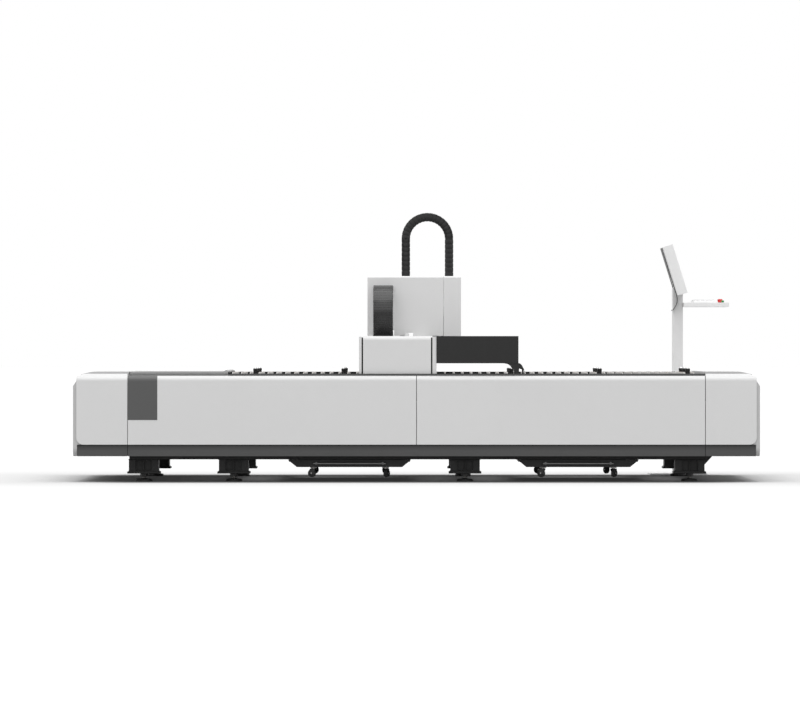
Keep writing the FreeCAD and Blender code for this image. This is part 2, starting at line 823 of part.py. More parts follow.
def caster(x, y, turn):
    """Swivel caster: top plate, forked bracket, axle and wheel in one small group."""
    wheel_z = caster_bottom + caster_wheel_radius
    trail = 12.0
    half = caster_wheel_width / 2
    wheel = Part.makeCylinder(caster_wheel_radius, caster_wheel_width, Vector(x - half, y + trail, wheel_z), AXIS_X)
    wheel = wheel.makeFillet(3.0, wheel.Edges[:1] + wheel.Edges[2:])
    fork_z = wheel_z + caster_wheel_radius + 2
    pieces = [wheel]
    for side in (-1, 1):
        inner_x = x + side * (half + 1)
        outer_x = inner_x + side * caster_fork
        x0 = min(inner_x, outer_x)
        pieces.append(prism([Vector(x0, y + trail - 9, wheel_z - 9), Vector(x0, y + trail + 9, wheel_z - 9),
                             Vector(x0, y + trail + 12, fork_z), Vector(x0, y - 16, fork_z)],
                            Vector(caster_fork, 0, 0)))
    pieces.append(box(x - half - 1 - caster_fork, x + half + 1 + caster_fork, y - 16, y + trail + 12,
                      fork_z - 1, fork_z + 3))
    pieces.append(cylinder(x, y, fork_z + 2, drawer_bottom - 3, 12))
    axle = rod(Vector(x - half - 6, y + trail, wheel_z), Vector(x + half + 6, y + trail, wheel_z), 5)
    whole = fused(pieces + [axle])
    whole.rotate(Vector(x, y, 0), AXIS_Z, turn)
    plate = box(x - 24, x + 24, y - 24, y + 24, drawer_bottom - 4, drawer_bottom)
    return fused([whole, plate])


runners = []
for name, (left, right) in (("left", drawer_left_top), ("right", drawer_right_top)):
    export("drawer_" + name, drawer(left, right))
    near_y = -drawer_front_y + 62
    caster_places = [(x, y) for y in (near_y, near_y + caster_row_pitch)
                     for x in (left + caster_inset, right - caster_inset)]
    export("drawer_casters_" + name,
           *[caster(x, y, turn) for (x, y), turn in zip(caster_places, caster_turns)])
    runners += [runner(left, 1), runner(right, -1)]
export("drawer_runners", *runners)


# ---------------------------------------------------------------- gantry
def end_box():
    """Closed box at the gantry's end with the shelf that carries the drive motor; drawn on the far side."""
    body = closed_box(end_box_left_x, end_box_right_x, end_box_inner_y, end_box_outer_y,
                      end_box_bottom, end_box_top, end_box_wall)
    half = motor_width / 2 + 15
    shelf = box(gantry_x - half, gantry_x + half, end_box_outer_y - 1, x_pinion_y + motor_width / 2 + 4,
                end_box_bottom, end_box_bottom + motor_shelf)
    hole = cylinder(gantry_x, x_pinion_y, end_box_bottom - 1, end_box_bottom + motor_shelf + 1, shaft_radius + 8)
    return fused([body, shelf]).cut(hole)


def gantry_cover():
    """Deep cover over the motor, open to the end box and below, with a rounded top edge."""
    y0 = end_box_outer_y + seat
    outer = box(cover_left_x, cover_right_x, y0, cover_outer_y, cover_bottom, cover_top)
    outer = rounded(outer, cover_radius, AXIS_X, lambda p: p.y > cover_outer_y - 1 and p.z > cover_top - 1)
    inner = box(cover_left_x + sheet, cover_right_x - sheet, y0 - 1, cover_outer_y - sheet,
                cover_bottom - 1, cover_top - sheet)
    inner = rounded(inner, cover_radius - sheet, AXIS_X,
                    lambda p: p.y > cover_outer_y - sheet - 1 and p.z > cover_top - sheet - 1)
    apron = box(cover_left_x, cover_right_x, cover_outer_y - sheet, cover_outer_y,
                cover_front_bottom, cover_bottom + 1)
    return outer.cut(inner).fuse(apron)


def cheek(x_edge, x_web):
    """Folded sheet beside the cover, flush with its front; drawn on the far side."""
    x0, x1 = sorted((x_edge, x_web))
    face = box(x0, x1, cover_outer_y - sheet, cover_outer_y, cover_front_bottom, cheek_top)
    web_x = x0 if x_web < x_edge else x1 - sheet
    web = box(web_x, web_x + sheet, end_box_outer_y + seat, cover_outer_y - 1, cover_bottom, cheek_top)
    return fused([face, web])


def x_block(x):
    """Guide block that straddles the rail; drawn on the far side."""
    z0 = beam_top + block_skirt
    body = box(x - block_length / 2, x + block_length / 2, rail_y - block_width / 2, rail_y + block_width / 2,
               z0, end_box_bottom)
    slot = box(x - block_length, x + block_length, rail_y - rail_width / 2 - seat, rail_y + rail_width / 2 + seat,
               z0 - 1, beam_top + rail_height + seat)
    return body.cut(slot)


def motor(x, y, z0, size, length, bore_top):
    """Servo motor standing on its flange, with the bore that its shaft runs in."""
    half = size / 2
    flange = box(x - half, x + half, y - half, y + half, z0, z0 + motor_flange)
    body = box(x - half * 0.88, x + half * 0.88, y - half * 0.88, y + half * 0.88,
               z0 + motor_flange - 1, z0 + length - motor_plug)
    body = rounded(body, half * 0.2, AXIS_Z, lambda p: True)
    cap = box(x - half * 0.7, x + half * 0.7, y - half * 0.7, y + half * 0.7, z0 + length - motor_plug - 1, z0 + length)
    bore = cylinder(x, y, z0 - 1, bore_top, shaft_radius + running_gap)
    return fused([flange, body, cap]).cut(bore)


def pinion(x, y, z0, shaft_top):
    """Drive pinion with its shaft."""
    gear = cylinder(x, y, z0, z0 + pinion_height, pinion_radius)
    hub = cylinder(x, y, z0 + pinion_height - 1, z0 + pinion_height + 6, pinion_radius * 0.5)
    shaft = cylinder(x, y, z0, shaft_top, shaft_radius)
    return fused([gear, hub, shaft])


export("gantry_end_boxes", *side_pair(end_box()))
cheek_left = cheek(cover_left_x - cheek_groove, end_box_left_x)
cheek_right = cheek(cover_right_x + cheek_groove, end_box_right_x)
export("gantry_covers", *(side_pair(gantry_cover()) + side_pair(cheek_left) + side_pair(cheek_right)))
block_xs = (gantry_x - block_offset, gantry_x + block_offset)
x_blocks = [x_block(x) for x in block_xs]
export("x_guide_blocks", *(x_blocks + [mirrored(s) for s in x_blocks]))
x_motor_z = end_box_bottom + motor_shelf
x_shaft_top = x_motor_z + shaft_reach
x_motor = motor(gantry_x, x_pinion_y, x_motor_z, motor_width, motor_length, x_shaft_top + 1)
export("x_motors", *side_pair(x_motor))
export("x_pinion_near", pinion(gantry_x, -x_pinion_y, x_pinion_bottom, x_shaft_top))
export("x_pinion_far", pinion(gantry_x, x_pinion_y, x_pinion_bottom, x_shaft_top))


def gantry_beam():
    """Box beam between the end boxes, with the tray that the cross chain lies in."""
    beam = tube_y(gantry_beam_left_x, gantry_beam_right_x, -end_box_inner_y, end_box_inner_y,
                  gantry_beam_bottom, end_box_top, gantry_beam_wall)
    x0 = y_chain_left_x - tray_margin
    x1 = y_chain_right_x + tray_margin
    y0 = -end_box_outer_y
    y1 = -y_chain_end_y + 30
    tray = box(x0, x1, y0, y1, end_box_top, end_box_top + tray_thickness)
    lips = [box(x, x + 2, y0, y1, end_box_top, end_box_top + tray_thickness + tray_lip) for x in (x0, x1 - 2)]
    return fused([beam, tray] + lips)


export("gantry_beam", gantry_beam())


def y_rail(z):
    section = linear_rail_section(y_rail_width / 2, y_rail_depth)
    points = [Vector(gantry_beam_right_x + depth, -y_rail_half_length, z + across) for across, depth in section]
    return prism(points, Vector(0, 2 * y_rail_half_length, 0))


y_rack = box(y_rack_right_x - y_rack_width, y_rack_right_x, -y_rail_half_length, y_rail_half_length,
             end_box_top, end_box_top + y_rack_height)
export("y_rails_and_rack", *([y_rail(z) for z in y_rail_zs] + [y_rack]))


def tow_duct():
    """Black cable duct from the gantry's end, with the claw that pulls the long chain along its trough."""
    y0 = -duct_outer_y
    y1 = -duct_inner_y
    body = tube_x(end_box_right_x, duct_right_x, y0, y1, duct_bottom, duct_top, duct_wall)
    outlet = box(claw_left_x + claw_leg, claw_right_x - claw_thin_leg, chain_y0 + duct_wall, chain_y1 - duct_wall,
                 duct_bottom - 1, duct_bottom + duct_wall + 1)
    claw_foot = x_chain_top_z + seat
    radius = duct_bottom - claw_shoulder_z
    root = duct_bottom + 1
    thick = [(claw_left_x, claw_foot), (claw_left_x + claw_leg, claw_foot), (claw_left_x + claw_leg, root),
             (claw_shoulder_x, root), (claw_shoulder_x, duct_bottom)]
    for n in range(1, 9):
        turn = math.radians(90 * n / 8)
        thick.append((claw_shoulder_x + (claw_left_x - claw_shoulder_x) * math.sin(turn),
                      duct_bottom - radius * (1 - math.cos(turn))))
    thin_root = duct_right_x - claw_thin_leg
    thin = [(claw_right_x, claw_foot), (claw_right_x - claw_thin_leg, claw_foot)]
    curve = [math.radians(90 * n / 8) for n in range(9)]
    drop = duct_bottom - claw_shoulder_z
    reach = claw_right_x - duct_right_x
    inner = [(thin_root + reach * math.sin(a), root - drop * (1 - math.cos(a))) for a in curve]
    outer = [(duct_right_x + reach * math.sin(a), root - drop * (1 - math.cos(a))) for a in curve]
    thin += inner[::-1] + outer
    legs = [prism_y(thick, chain_y0, chain_y1), prism_y(thin, chain_y0, chain_y1)]
    return fused([body] + legs).cut(outlet)


export("tow_duct", tow_duct())

run_start_y = -y_chain_bend_y + seat
y_chain_top_z = y_chain_centre_z + y_chain_radius
export("y_chain_lower", box(y_chain_left_x, y_chain_right_x, run_start_y, -y_chain_end_y - seat,
                            y_chain_bottom + seat, y_chain_bottom + chain_height))
export("y_chain_upper", box(y_chain_left_x, y_chain_right_x, run_start_y, -y_chain_end_y - seat,
                            y_chain_top_z - chain_height, y_chain_top_z))
bend = Part.makeCylinder(y_chain_radius - seat, y_chain_right_x - y_chain_left_x,
                         Vector(y_chain_left_x, -y_chain_bend_y, y_chain_centre_z), AXIS_X)
bend = bend.cut(Part.makeCylinder(y_chain_radius - chain_height, y_chain_right_x - y_chain_left_x,
                                  Vector(y_chain_left_x, -y_chain_bend_y, y_chain_centre_z), AXIS_X))
bend = bend.cut(box(y_chain_left_x - 1, y_chain_right_x + 1, -y_chain_bend_y, -y_chain_bend_y + y_chain_radius,
                    y_chain_bottom - 1, y_chain_top_z + 1))
export("y_chain_bend", bend)


# ---------------------------------------------------------------- carriage
def carriage_frame():
    """Upright plate on the rails' side of the beam, and the saddle over it that carries the drive motor."""
    half = carriage_plate_half_width
    x1 = carriage_plate_x + carriage_plate
    upright = box(carriage_plate_x, x1, -half, half, saddle_bottom, carriage_plate_top)
    foot_half = upright_foot_half_width
    upright = upright.fuse(box(carriage_plate_x, x1, -foot_half, foot_half, carriage_plate_bottom, saddle_bottom + 1))
    screw_block = box(x1 - 1, screw_x + screw_foot_half, -screw_foot_half, screw_foot_half,
                      screw_bottom, screw_bottom + screw_foot)
    screw_bore = cylinder(screw_x, 0, screw_bottom - 1, screw_bottom + screw_foot + 1, screw_radius + running_gap)
    screw_block = screw_block.cut(screw_bore)
    saddle = box(saddle_left_x, carriage_plate_x + 1, -half, half, saddle_bottom, saddle_bottom + saddle_thickness)
    hole = cylinder(y_pinion_x, 0, saddle_bottom - 1, saddle_bottom + saddle_thickness + 1, shaft_radius + 8)
    rib_top = saddle_bottom + saddle_thickness
    rib = [(carriage_plate_x + 1, rib_top - 1), (carriage_plate_x + 1, rib_top + saddle_rib_height),
           (carriage_plate_x - saddle_rib_length, rib_top - 1)]
    ribs = [prism_y(rib, y, y + 10) for y in (-half + 10, half - 20)]
    chain_arm = box(y_chain_left_x, y_chain_right_x, -half, -half + 12, rib_top - 1,
                    y_chain_top_z - chain_height)
    return fused([upright, saddle, chain_arm, screw_block] + ribs).cut(hole)


def y_block(y, z):
    x0 = gantry_beam_right_x + 6
    body = box(x0, carriage_plate_x, y - y_block_length / 2, y + y_block_length / 2,
               z - y_block_width / 2, z + y_block_width / 2)
    slot = box(x0 - 1, gantry_beam_right_x + y_rail_depth + seat, y - y_block_length, y + y_block_length,
               z - y_rail_width / 2 - seat, z + y_rail_width / 2 + seat)
    return body.cut(slot)


export("carriage_frame", carriage_frame())
export("y_guide_blocks", *[y_block(y, z) for y in (-y_block_y, y_block_y) for z in y_rail_zs])
y_motor_z = saddle_bottom + saddle_thickness
export("y_motor", motor(y_pinion_x, 0, y_motor_z, motor_width, y_motor_length, y_motor_z + shaft_reach + 1))
export("y_pinion", pinion(y_pinion_x, 0, y_pinion_bottom, y_motor_z + shaft_reach))


def housing(x0, x1, z0, open_side):
    """Five-sided sheet housing, open below and towards its neighbour, with rounded outer edges."""
    y1 = carriage_half_width
    wall = carriage_cover_wall
    body = box(x0, x1, -y1, y1, z0, carriage_top)
    body = rounded(body, carriage_edge_radius, AXIS_X, lambda p: p.z > carriage_top - 1)
    inner = box(x0 + wall, x1 - wall, -y1 + wall, y1 - wall, z0 - 1, carriage_top - wall)
    if open_side > 0:
        inner = inner.fuse(box(x1 - wall - 1, x1 + 1, -y1 + wall, y1 - wall, z0 - 1, carriage_top - wall))
    else:
        inner = inner.fuse(box(x0 - 1, x0 + wall + 1, -y1 + wall, y1 - wall, z0 - 1, carriage_top - wall))
    inner = inner.removeSplitter()
    inner = rounded(inner, carriage_edge_radius - wall, AXIS_X, lambda p: p.z > carriage_top - wall - 1)
    return body.cut(inner)


export("carriage_cover", housing(carriage_left_x, carriage_seam_x - half_gap / 2, saddle_bottom, 1))
export("z_cover", housing(carriage_seam_x + half_gap / 2, carriage_right_x, z_cover_bottom, -1))


def housing_aprons():
    """Strips that carry the housing's far wall down to the beam, clear of the chain's tray and of the rack."""
    y1 = carriage_half_width
    y0 = y1 - carriage_cover_wall
    gap = tray_margin
    rack_x0 = y_rack_right_x - y_rack_width - rack_clearance
    rack_x1 = y_rack_right_x + rack_clearance
    high = end_box_top + y_rack_height + rack_clearance
    tray_x0 = y_chain_left_x - tray_margin - gap
    tray_x1 = y_chain_right_x + tray_margin + gap
    z1 = saddle_bottom
    return [box(carriage_left_x, tray_x0, y0, y1, apron_bottom, z1),
            box(tray_x1, rack_x0, y0, y1, apron_bottom, z1),
            box(rack_x0, rack_x1, y0, y1, high, z1),
            box(rack_x1, carriage_seam_x - half_gap / 2, y0, y1, apron_bottom, z1)]


aprons = housing_aprons()
export("carriage_aprons", *(aprons + [mirrored(s) for s in aprons]))


# ---------------------------------------------------------------- vertical slide and cutting head
z_face_x = carriage_plate_x + carriage_plate
z_rails = []
for y in (-z_rail_y, z_rail_y):
    section = linear_rail_section(z_rail_width / 2, z_rail_depth)
    points = [Vector(z_face_x + depth, y + across, z_rail_bottom) for across, depth in section]
    z_rails.append(prism(points, Vector(0, 0, z_rail_top - z_rail_bottom)))
export("z_rails", *z_rails)


def z_motor():
    """Motor with the bracket that hangs it on the upright plate and the bearing bore for the screw."""
    half = z_motor_width / 2
    bracket = box(z_face_x, screw_x + half, -half - 6, half + 6, z_motor_bottom, z_motor_bottom + 12)
    body = box(screw_x - half + 1, screw_x + half, -half, half, z_motor_bottom + 11, z_motor_top)
    bore = cylinder(screw_x, 0, z_motor_bottom - 1, z_motor_bottom + 12, screw_radius + running_gap)
    return fused([bracket, body]).cut(bore)


export("z_motor", z_motor())
export("z_screw", cylinder(screw_x, 0, screw_bottom, z_motor_bottom + 10, screw_radius))


def z_slide():
    """Moving plate with its four guide blocks, the screw's nut and the head's clamp."""
    half = z_plate_half_width
    plate = box(z_plate_x, z_plate_x + z_plate, -half, half, z_plate_bottom, z_plate_top)
    pieces = [plate]
    for y in (-z_rail_y, z_rail_y):
        for z in (z_plate_bottom + z_block_inset, z_plate_top - z_block_inset):
            body = box(z_face_x + 4, z_plate_x + 1, y - z_block_width / 2, y + z_block_width / 2,
                       z - z_block_length / 2, z + z_block_length / 2)
            slot = box(z_face_x, z_face_x + z_rail_depth + seat, y - z_rail_width / 2 - seat,
                       y + z_rail_width / 2 + seat, z - z_block_length, z + z_block_length)
            pieces.append(body.cut(slot))
    tab_y = carriage_plate_half_width
    tab_z = z_plate_top - z_tab_height
    wing_y = tab_y - 1
    pieces.append(box(z_plate_x, z_plate_x + z_plate, -wing_y, wing_y, tab_z, z_plate_top))
    tab_x = carriage_seam_x + half_gap
    for side in (-1, 1):
        y0, y1 = sorted((side * (tab_y - z_tab), side * tab_y))
        pieces.append(box(tab_x, tab_x + z_tab_reach, y0, y1, tab_z, z_plate_top))
        y0, y1 = sorted((side * (tab_y - z_tab), side * wing_y))
        pieces.append(box(z_plate_x + 1, tab_x + 1, y0, y1, tab_z, z_plate_top))
    nut_z = (z_plate_bottom + z_plate_top) / 2
    pieces.append(cylinder(screw_x, 0, nut_z - nut_height / 2, nut_z + nut_height / 2, nut_radius))
    pieces.append(box(screw_x, z_plate_x + 1, -nut_radius, nut_radius, nut_z - nut_height / 2, nut_z + nut_height / 2))
    bore = cylinder(screw_x, 0, nut_z - nut_height, nut_z + nut_height, screw_radius + running_gap)
    return fused(pieces).cut(bore)


export("z_plate", z_slide())


def cutting_head():
    """Laser head: a tall body with its collimator on top, a clamp to the slide and a round sensor neck."""
    x0 = head_x - head_depth / 2
    half = head_width / 2
    body = box(x0, head_x + head_depth / 2, -half, half, head_bottom, head_top - 60)
    body = rounded(body, 8.0, AXIS_Z, lambda p: p.x > head_x)
    clamp = box(z_plate_x + z_plate, x0 + 1, -half, half, head_bottom + 60, head_top - 110)
    collimator = cylinder(head_x, 0, head_top - 61, head_top, half * 0.7)
    fibre_plug = cylinder(head_x, 0, head_top - 1, head_top + 60, 12)
    neck = cylinder(head_x, 0, head_neck_bottom, head_bottom + 1, head_neck_radius)
    return fused([body, clamp, collimator, fibre_plug, neck])


export("cutting_head", cutting_head())
nozzle_top = head_neck_bottom
shoulder = nozzle_top - 14
outer_nozzle = cylinder(head_x, 0, shoulder, nozzle_top, nozzle_radius)
cone = Part.makeCone(nozzle_tip_radius, nozzle_radius, shoulder - nozzle_tip, Vector(head_x, 0, nozzle_tip), AXIS_Z)
bore = cylinder(head_x, 0, nozzle_tip - 1, nozzle_top - 6, nozzle_bore)
export("nozzle", fused([outer_nozzle, cone]).cut(bore))


def z_chain():
    """Arched chain from the carriage's housing over to the slide's cover."""
    inner_radius = z_chain_radius - z_chain_thickness
    centre_z = z_chain_top - z_chain_radius
    y0 = -z_chain_half_width
    width = 2 * z_chain_half_width
    ring = Part.makeCylinder(z_chain_radius, width, Vector(z_chain_x, y0, centre_z), AXIS_Y)
    ring = ring.cut(Part.makeCylinder(inner_radius, width, Vector(z_chain_x, y0, centre_z), AXIS_Y))
    ring = ring.cut(box(z_chain_x - z_chain_radius, z_chain_x + z_chain_radius, y0 - 1, y0 + width + 1,
                        centre_z - z_chain_radius, centre_z))
    legs = [box(x0, x0 + z_chain_thickness, y0, y0 + width, carriage_top + seat, centre_z)
            for x0 in (z_chain_x - z_chain_radius, z_chain_x + inner_radius)]
    return fused([ring] + legs)


export("z_chain", z_chain())


# ---------------------------------------------------------------- console
def console_stand():
    """Floor plate, hollow column and the cable trunking that ties the console to the bed."""
    middle = (column_left_x + column_right_x) / 2
    base = box(middle - console_base_length / 2, middle + console_base_length / 2,
               console_y - console_base_width / 2, console_y + console_base_width / 2, 0, console_base_height)
    base = rounded(base, 20.0, AXIS_Z, lambda p: True)
    for side_x in (-1, 1):
        for side_y in (-1, 1):
            x = middle + side_x * (console_base_length / 2 - console_anchor_inset)
            y = console_y + side_y * (console_base_width / 2 - console_anchor_inset)
            base = base.cut(cylinder(x, y, -1, console_base_height + 1, console_anchor_radius))
    column = tube_z(column_left_x, column_right_x, console_y - column_half_width, console_y + column_half_width,
                    console_base_height - 1, column_top, column_wall)
    trunk_z = chassis_bottom + 10
    trunk = tube_y(middle - trunk_width / 2, middle + trunk_width / 2, chassis_outer_y + seat,
                   console_y - column_half_width + 1, trunk_z - 80, trunk_z - 80 + trunk_height, trunk_wall)
    return fused([base, column, trunk])


export("console_stand", console_stand())


def monitor_points(back, front, low, high):
    """Corners of a tilted slab, given its back and front depths and its lower and upper ends along the face."""
    top = Vector(monitor_top_x, 0, monitor_top)
    bottom = Vector(monitor_bottom_x, 0, monitor_bottom)
    up = top.sub(bottom)
    up.normalize()
    out = Vector(up.z, 0, -up.x)
    corners = []
    for along, depth in ((low, back), (high, back), (high, front), (low, front)):
        corners.append(bottom.add(up * along).add(out * depth))
    return [(p.x, p.z) for p in corners]


face_length = math.hypot(monitor_top_x - monitor_bottom_x, monitor_top - monitor_bottom)
housing_outline = monitor_points(0, monitor_thickness, 0, face_length)
monitor = prism_y(housing_outline, console_y - monitor_half_width, console_y + monitor_half_width)
pocket = prism_y(monitor_points(monitor_thickness - screen_thickness, monitor_thickness + 1, screen_margin,
                                face_length - screen_margin),
                 console_y - monitor_half_width + screen_margin, console_y + monitor_half_width - screen_margin)
pillar = box(column_left_x, column_right_x, console_y - column_half_width, console_y + column_half_width,
             column_top, monitor_bottom + 60)
export("monitor_housing", fused([monitor, pillar]).cut(pocket))
screen = prism_y(monitor_points(monitor_thickness - screen_thickness, monitor_thickness - 0.5, screen_margin + seat,
                                face_length - screen_margin - seat),
                 console_y - monitor_half_width + screen_margin + seat,
                 console_y + monitor_half_width - screen_margin - seat)
export("monitor_screen", screen)

shelf_x0 = column_right_x
shelf_x1 = shelf_x0 + shelf_length
shelf_top = shelf_bottom + shelf_thickness
keyboard_x0 = shelf_x0 + keyboard_back_gap
e_stop_x = shelf_x1 - button_margin
e_stop_y = console_y + shelf_half_width - button_margin
start_y = console_y - shelf_half_width + button_margin


def console_shelf():
    """Keyboard shelf with a raised key field and two button bores."""
    shelf = box(shelf_x0, shelf_x1, console_y - shelf_half_width, console_y + shelf_half_width, shelf_bottom, shelf_top)
    shelf = rounded(shelf, 12.0, AXIS_Z, lambda p: p.x > shelf_x1 - 1)
    key_field = box(keyboard_x0, keyboard_x0 + keyboard_length, console_y - keyboard_half_width,
                    console_y + keyboard_half_width, shelf_top - 1, shelf_top + keyboard_height)
    whole = fused([shelf, key_field])
    for y in (e_stop_y, start_y):
        whole = whole.cut(cylinder(e_stop_x, y, shelf_bottom + 6, shelf_top + 1, button_stem_radius + seat))
    return whole


def button(y, radius, height):
    """Push button: a stem in the shelf's bore and a round head that stands clear by its travel."""
    stem = cylinder(e_stop_x, y, shelf_top - 14, shelf_top + button_travel + seat + 1, button_stem_radius)
    head = cylinder(e_stop_x, y, shelf_top + button_travel + seat, shelf_top + button_travel + seat + height, radius)
    head = head.makeFillet(3.0, [e for e in head.Edges if e.CenterOfMass.z > shelf_top + button_travel + height / 2 + 4])
    return fused([stem, head])


export("console_shelf", console_shelf())
export("e_stop_button", button(e_stop_y, e_stop_radius, e_stop_height))
export("start_button", button(start_y, start_radius, start_height))
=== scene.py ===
import bmesh
import bpy
import json
import numpy as np
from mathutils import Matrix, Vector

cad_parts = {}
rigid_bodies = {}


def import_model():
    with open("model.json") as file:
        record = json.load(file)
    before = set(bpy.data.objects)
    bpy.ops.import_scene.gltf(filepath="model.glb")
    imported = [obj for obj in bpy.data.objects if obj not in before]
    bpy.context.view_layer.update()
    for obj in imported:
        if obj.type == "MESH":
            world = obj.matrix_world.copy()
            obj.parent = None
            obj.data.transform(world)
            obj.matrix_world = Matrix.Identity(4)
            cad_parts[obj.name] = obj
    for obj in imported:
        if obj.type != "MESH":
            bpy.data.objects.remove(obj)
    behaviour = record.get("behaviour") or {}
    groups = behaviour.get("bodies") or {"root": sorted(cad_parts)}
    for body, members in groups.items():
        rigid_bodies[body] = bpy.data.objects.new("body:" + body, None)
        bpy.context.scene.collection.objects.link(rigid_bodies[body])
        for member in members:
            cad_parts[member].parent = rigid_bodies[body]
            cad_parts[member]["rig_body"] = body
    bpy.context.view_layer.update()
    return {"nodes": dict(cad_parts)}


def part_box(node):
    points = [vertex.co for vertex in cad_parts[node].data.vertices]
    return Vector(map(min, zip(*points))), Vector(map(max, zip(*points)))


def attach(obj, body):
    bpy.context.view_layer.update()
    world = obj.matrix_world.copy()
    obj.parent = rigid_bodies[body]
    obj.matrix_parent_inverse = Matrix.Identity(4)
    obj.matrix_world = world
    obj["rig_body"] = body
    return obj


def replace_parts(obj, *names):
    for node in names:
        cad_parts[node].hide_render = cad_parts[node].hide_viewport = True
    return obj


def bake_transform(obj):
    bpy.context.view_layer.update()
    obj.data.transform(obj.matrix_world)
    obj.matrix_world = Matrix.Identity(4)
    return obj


for leftover in list(bpy.data.objects):
    bpy.data.objects.remove(leftover)
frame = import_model()

# ---------------------------------------------------------------- studio
# A floor whose colour holds a painted shadow, dark below the bed and paling away from it, with a faint painted glow
# seen only by the camera; an even white surround, a broad soft lamp overhead and a weak one in front.
# The camera stands 43 m in front with a long lens, a little above the table's height.


def shader_node(tree, kind, sockets=None, **settings):
    """A new shader node of the kind, with its settings, and each named socket linked or given its value."""
    node = tree.nodes.new("ShaderNode" + kind)
    for name, value in settings.items():
        setattr(node, name, value)
    for name, value in (sockets or {}).items():
        if isinstance(value, bpy.types.NodeSocket):
            tree.links.new(value, node.inputs[name])
        else:
            node.inputs[name].default_value = value
    return node


def math(tree, operation, *values):
    """Result of a Math node that does the operation on the values, each a socket or a number."""
    return shader_node(tree, "Math", dict(enumerate(values)), operation=operation).outputs[0]


def scaled(tree, value, low, high, from_low=0.3, from_high=0.7, **settings):
    """Value moved from the range from_low to from_high into the range low to high."""
    return shader_node(tree, "MapRange", {"Value": value, "From Min": from_low, "From Max": from_high, "To Min": low,
                                          "To Max": high}, **settings).outputs[0]


def coordinates(tree):
    """The object's own coordinates at the shaded point."""
    return tree.nodes.new("ShaderNodeTexCoord").outputs["Object"]


def grey(level, warmth=0.0):
    """Linear colour of an sRGB grey from 0 to 255; warmth moves red up and blue down by that share."""
    value = ((level / 255 + 0.055) / 1.055) ** 2.4 if level > 10 else level / 255 / 12.92
    return (value * (1 + warmth), value, value * (1 - warmth), 1.0)


def seen_or_mirrored(tree):
    """1 for rays from the camera or off a mirror or through glass, and 0 for light that lights the object."""
    path = tree.nodes.new("ShaderNodeLightPath")
    seen = math(tree, "MAXIMUM", path.outputs["Is Camera Ray"], path.outputs["Is Glossy Ray"])
    return math(tree, "MAXIMUM", seen, path.outputs["Is Transmission Ray"])


scene = bpy.context.scene
scene.view_settings.view_transform = "Standard"
surround = bpy.data.worlds.new("white_surround")
scene.world = surround
surround.use_nodes = True
surround.node_tree.nodes.clear()
air_light = shader_node(surround.node_tree, "Background", {"Color": grey(255), "Strength": 0.52})
air_seen = shader_node(surround.node_tree, "Background", {"Color": grey(255), "Strength": 1.0})
air = shader_node(surround.node_tree, "MixShader",
                  {0: seen_or_mirrored(surround.node_tree), 1: air_light.outputs[0], 2: air_seen.outputs[0]})
shader_node(surround.node_tree, "OutputWorld", {"Surface": air.outputs[0]})

floor_reach = 300
floor_corners = [(-floor_reach, -floor_reach, 0), (floor_reach, -floor_reach, 0), (floor_reach, floor_reach, 0),
                 (-floor_reach, floor_reach, 0)]
floor_mesh = bpy.data.meshes.new("floor")
floor_mesh.from_pydata(floor_corners, [], [(0, 1, 2, 3)])
floor = bpy.data.objects.new("floor", floor_mesh)
scene.collection.objects.link(floor)
pale_floor = bpy.data.materials.new("pale_floor")
pale_floor.use_nodes = True
floor_tree = pale_floor.node_tree
floor_tree.nodes.clear()
floor_light = shader_node(floor_tree, "BsdfDiffuse", {"Color": (0.5, 0.5, 0.5, 1.0)})
floor_spot = shader_node(floor_tree, "SeparateXYZ", {0: coordinates(floor_tree)})
# Painted shadow: the floor's colour is darkened below the bed and grows lighter with distance from it.
bed_middle = (0.0, -0.274)
bed_reach = (2.35, 1.2)
shadow_start, shadow_end = (-0.45, 0.0), (0.08, 0.48)
away, under_bed_shadow = [], []
for axis in (0, 1):
    aside = math(floor_tree, "ABSOLUTE", math(floor_tree, "ADD", floor_spot.outputs[axis], -bed_middle[axis]))
    past = math(floor_tree, "ADD", aside, -bed_reach[axis])
    away.append(math(floor_tree, "MAXIMUM", past, 0.0))
    under_bed_shadow.append(scaled(floor_tree, past, 1.0, 0.0, shadow_start[axis], shadow_end[axis],
                        interpolation_type="SMOOTHSTEP"))
past_bed = shader_node(floor_tree, "CombineXYZ", {0: away[0], 1: away[1]})
distance = shader_node(floor_tree, "VectorMath", {0: past_bed.outputs[0]}, operation="LENGTH")
fade_reach, fade_power = 2.6, 0.35
tone_base, tone_rise, shadow_depth = 0.54, 0.31, 0.7
shadow_falloff = scaled(floor_tree, distance.outputs["Value"], 0.0, 1.0, 0.0, fade_reach)
paling_shadow_tone = math(floor_tree, "MULTIPLY_ADD", math(floor_tree, "POWER", shadow_falloff, fade_power), tone_rise, tone_base)
deep_bed_shadow = math(floor_tree, "MULTIPLY_ADD", math(floor_tree, "MULTIPLY", *under_bed_shadow), -shadow_depth, 1.0)
floor_shadow_tone = math(floor_tree, "MULTIPLY", paling_shadow_tone, deep_bed_shadow)
floor_lit = shader_node(floor_tree, "BsdfDiffuse", {"Color": floor_shadow_tone})
# Painted light: a faint glow that only the camera sees lifts the floor's painted shadow.
floor_painted_glow = shader_node(floor_tree, "Emission", {"Color": grey(255), "Strength": 0.026})
floor_seen = shader_node(floor_tree, "AddShader", {0: floor_lit.outputs[0], 1: floor_painted_glow.outputs[0]})
to_camera = floor_tree.nodes.new("ShaderNodeLightPath").outputs["Is Camera Ray"]
floor_mix = shader_node(floor_tree, "MixShader", {0: to_camera, 1: floor_light.outputs[0], 2: floor_seen.outputs[0]})
shader_node(floor_tree, "OutputMaterial", {"Surface": floor_mix.outputs[0]})
floor_mesh.materials.append(pale_floor)

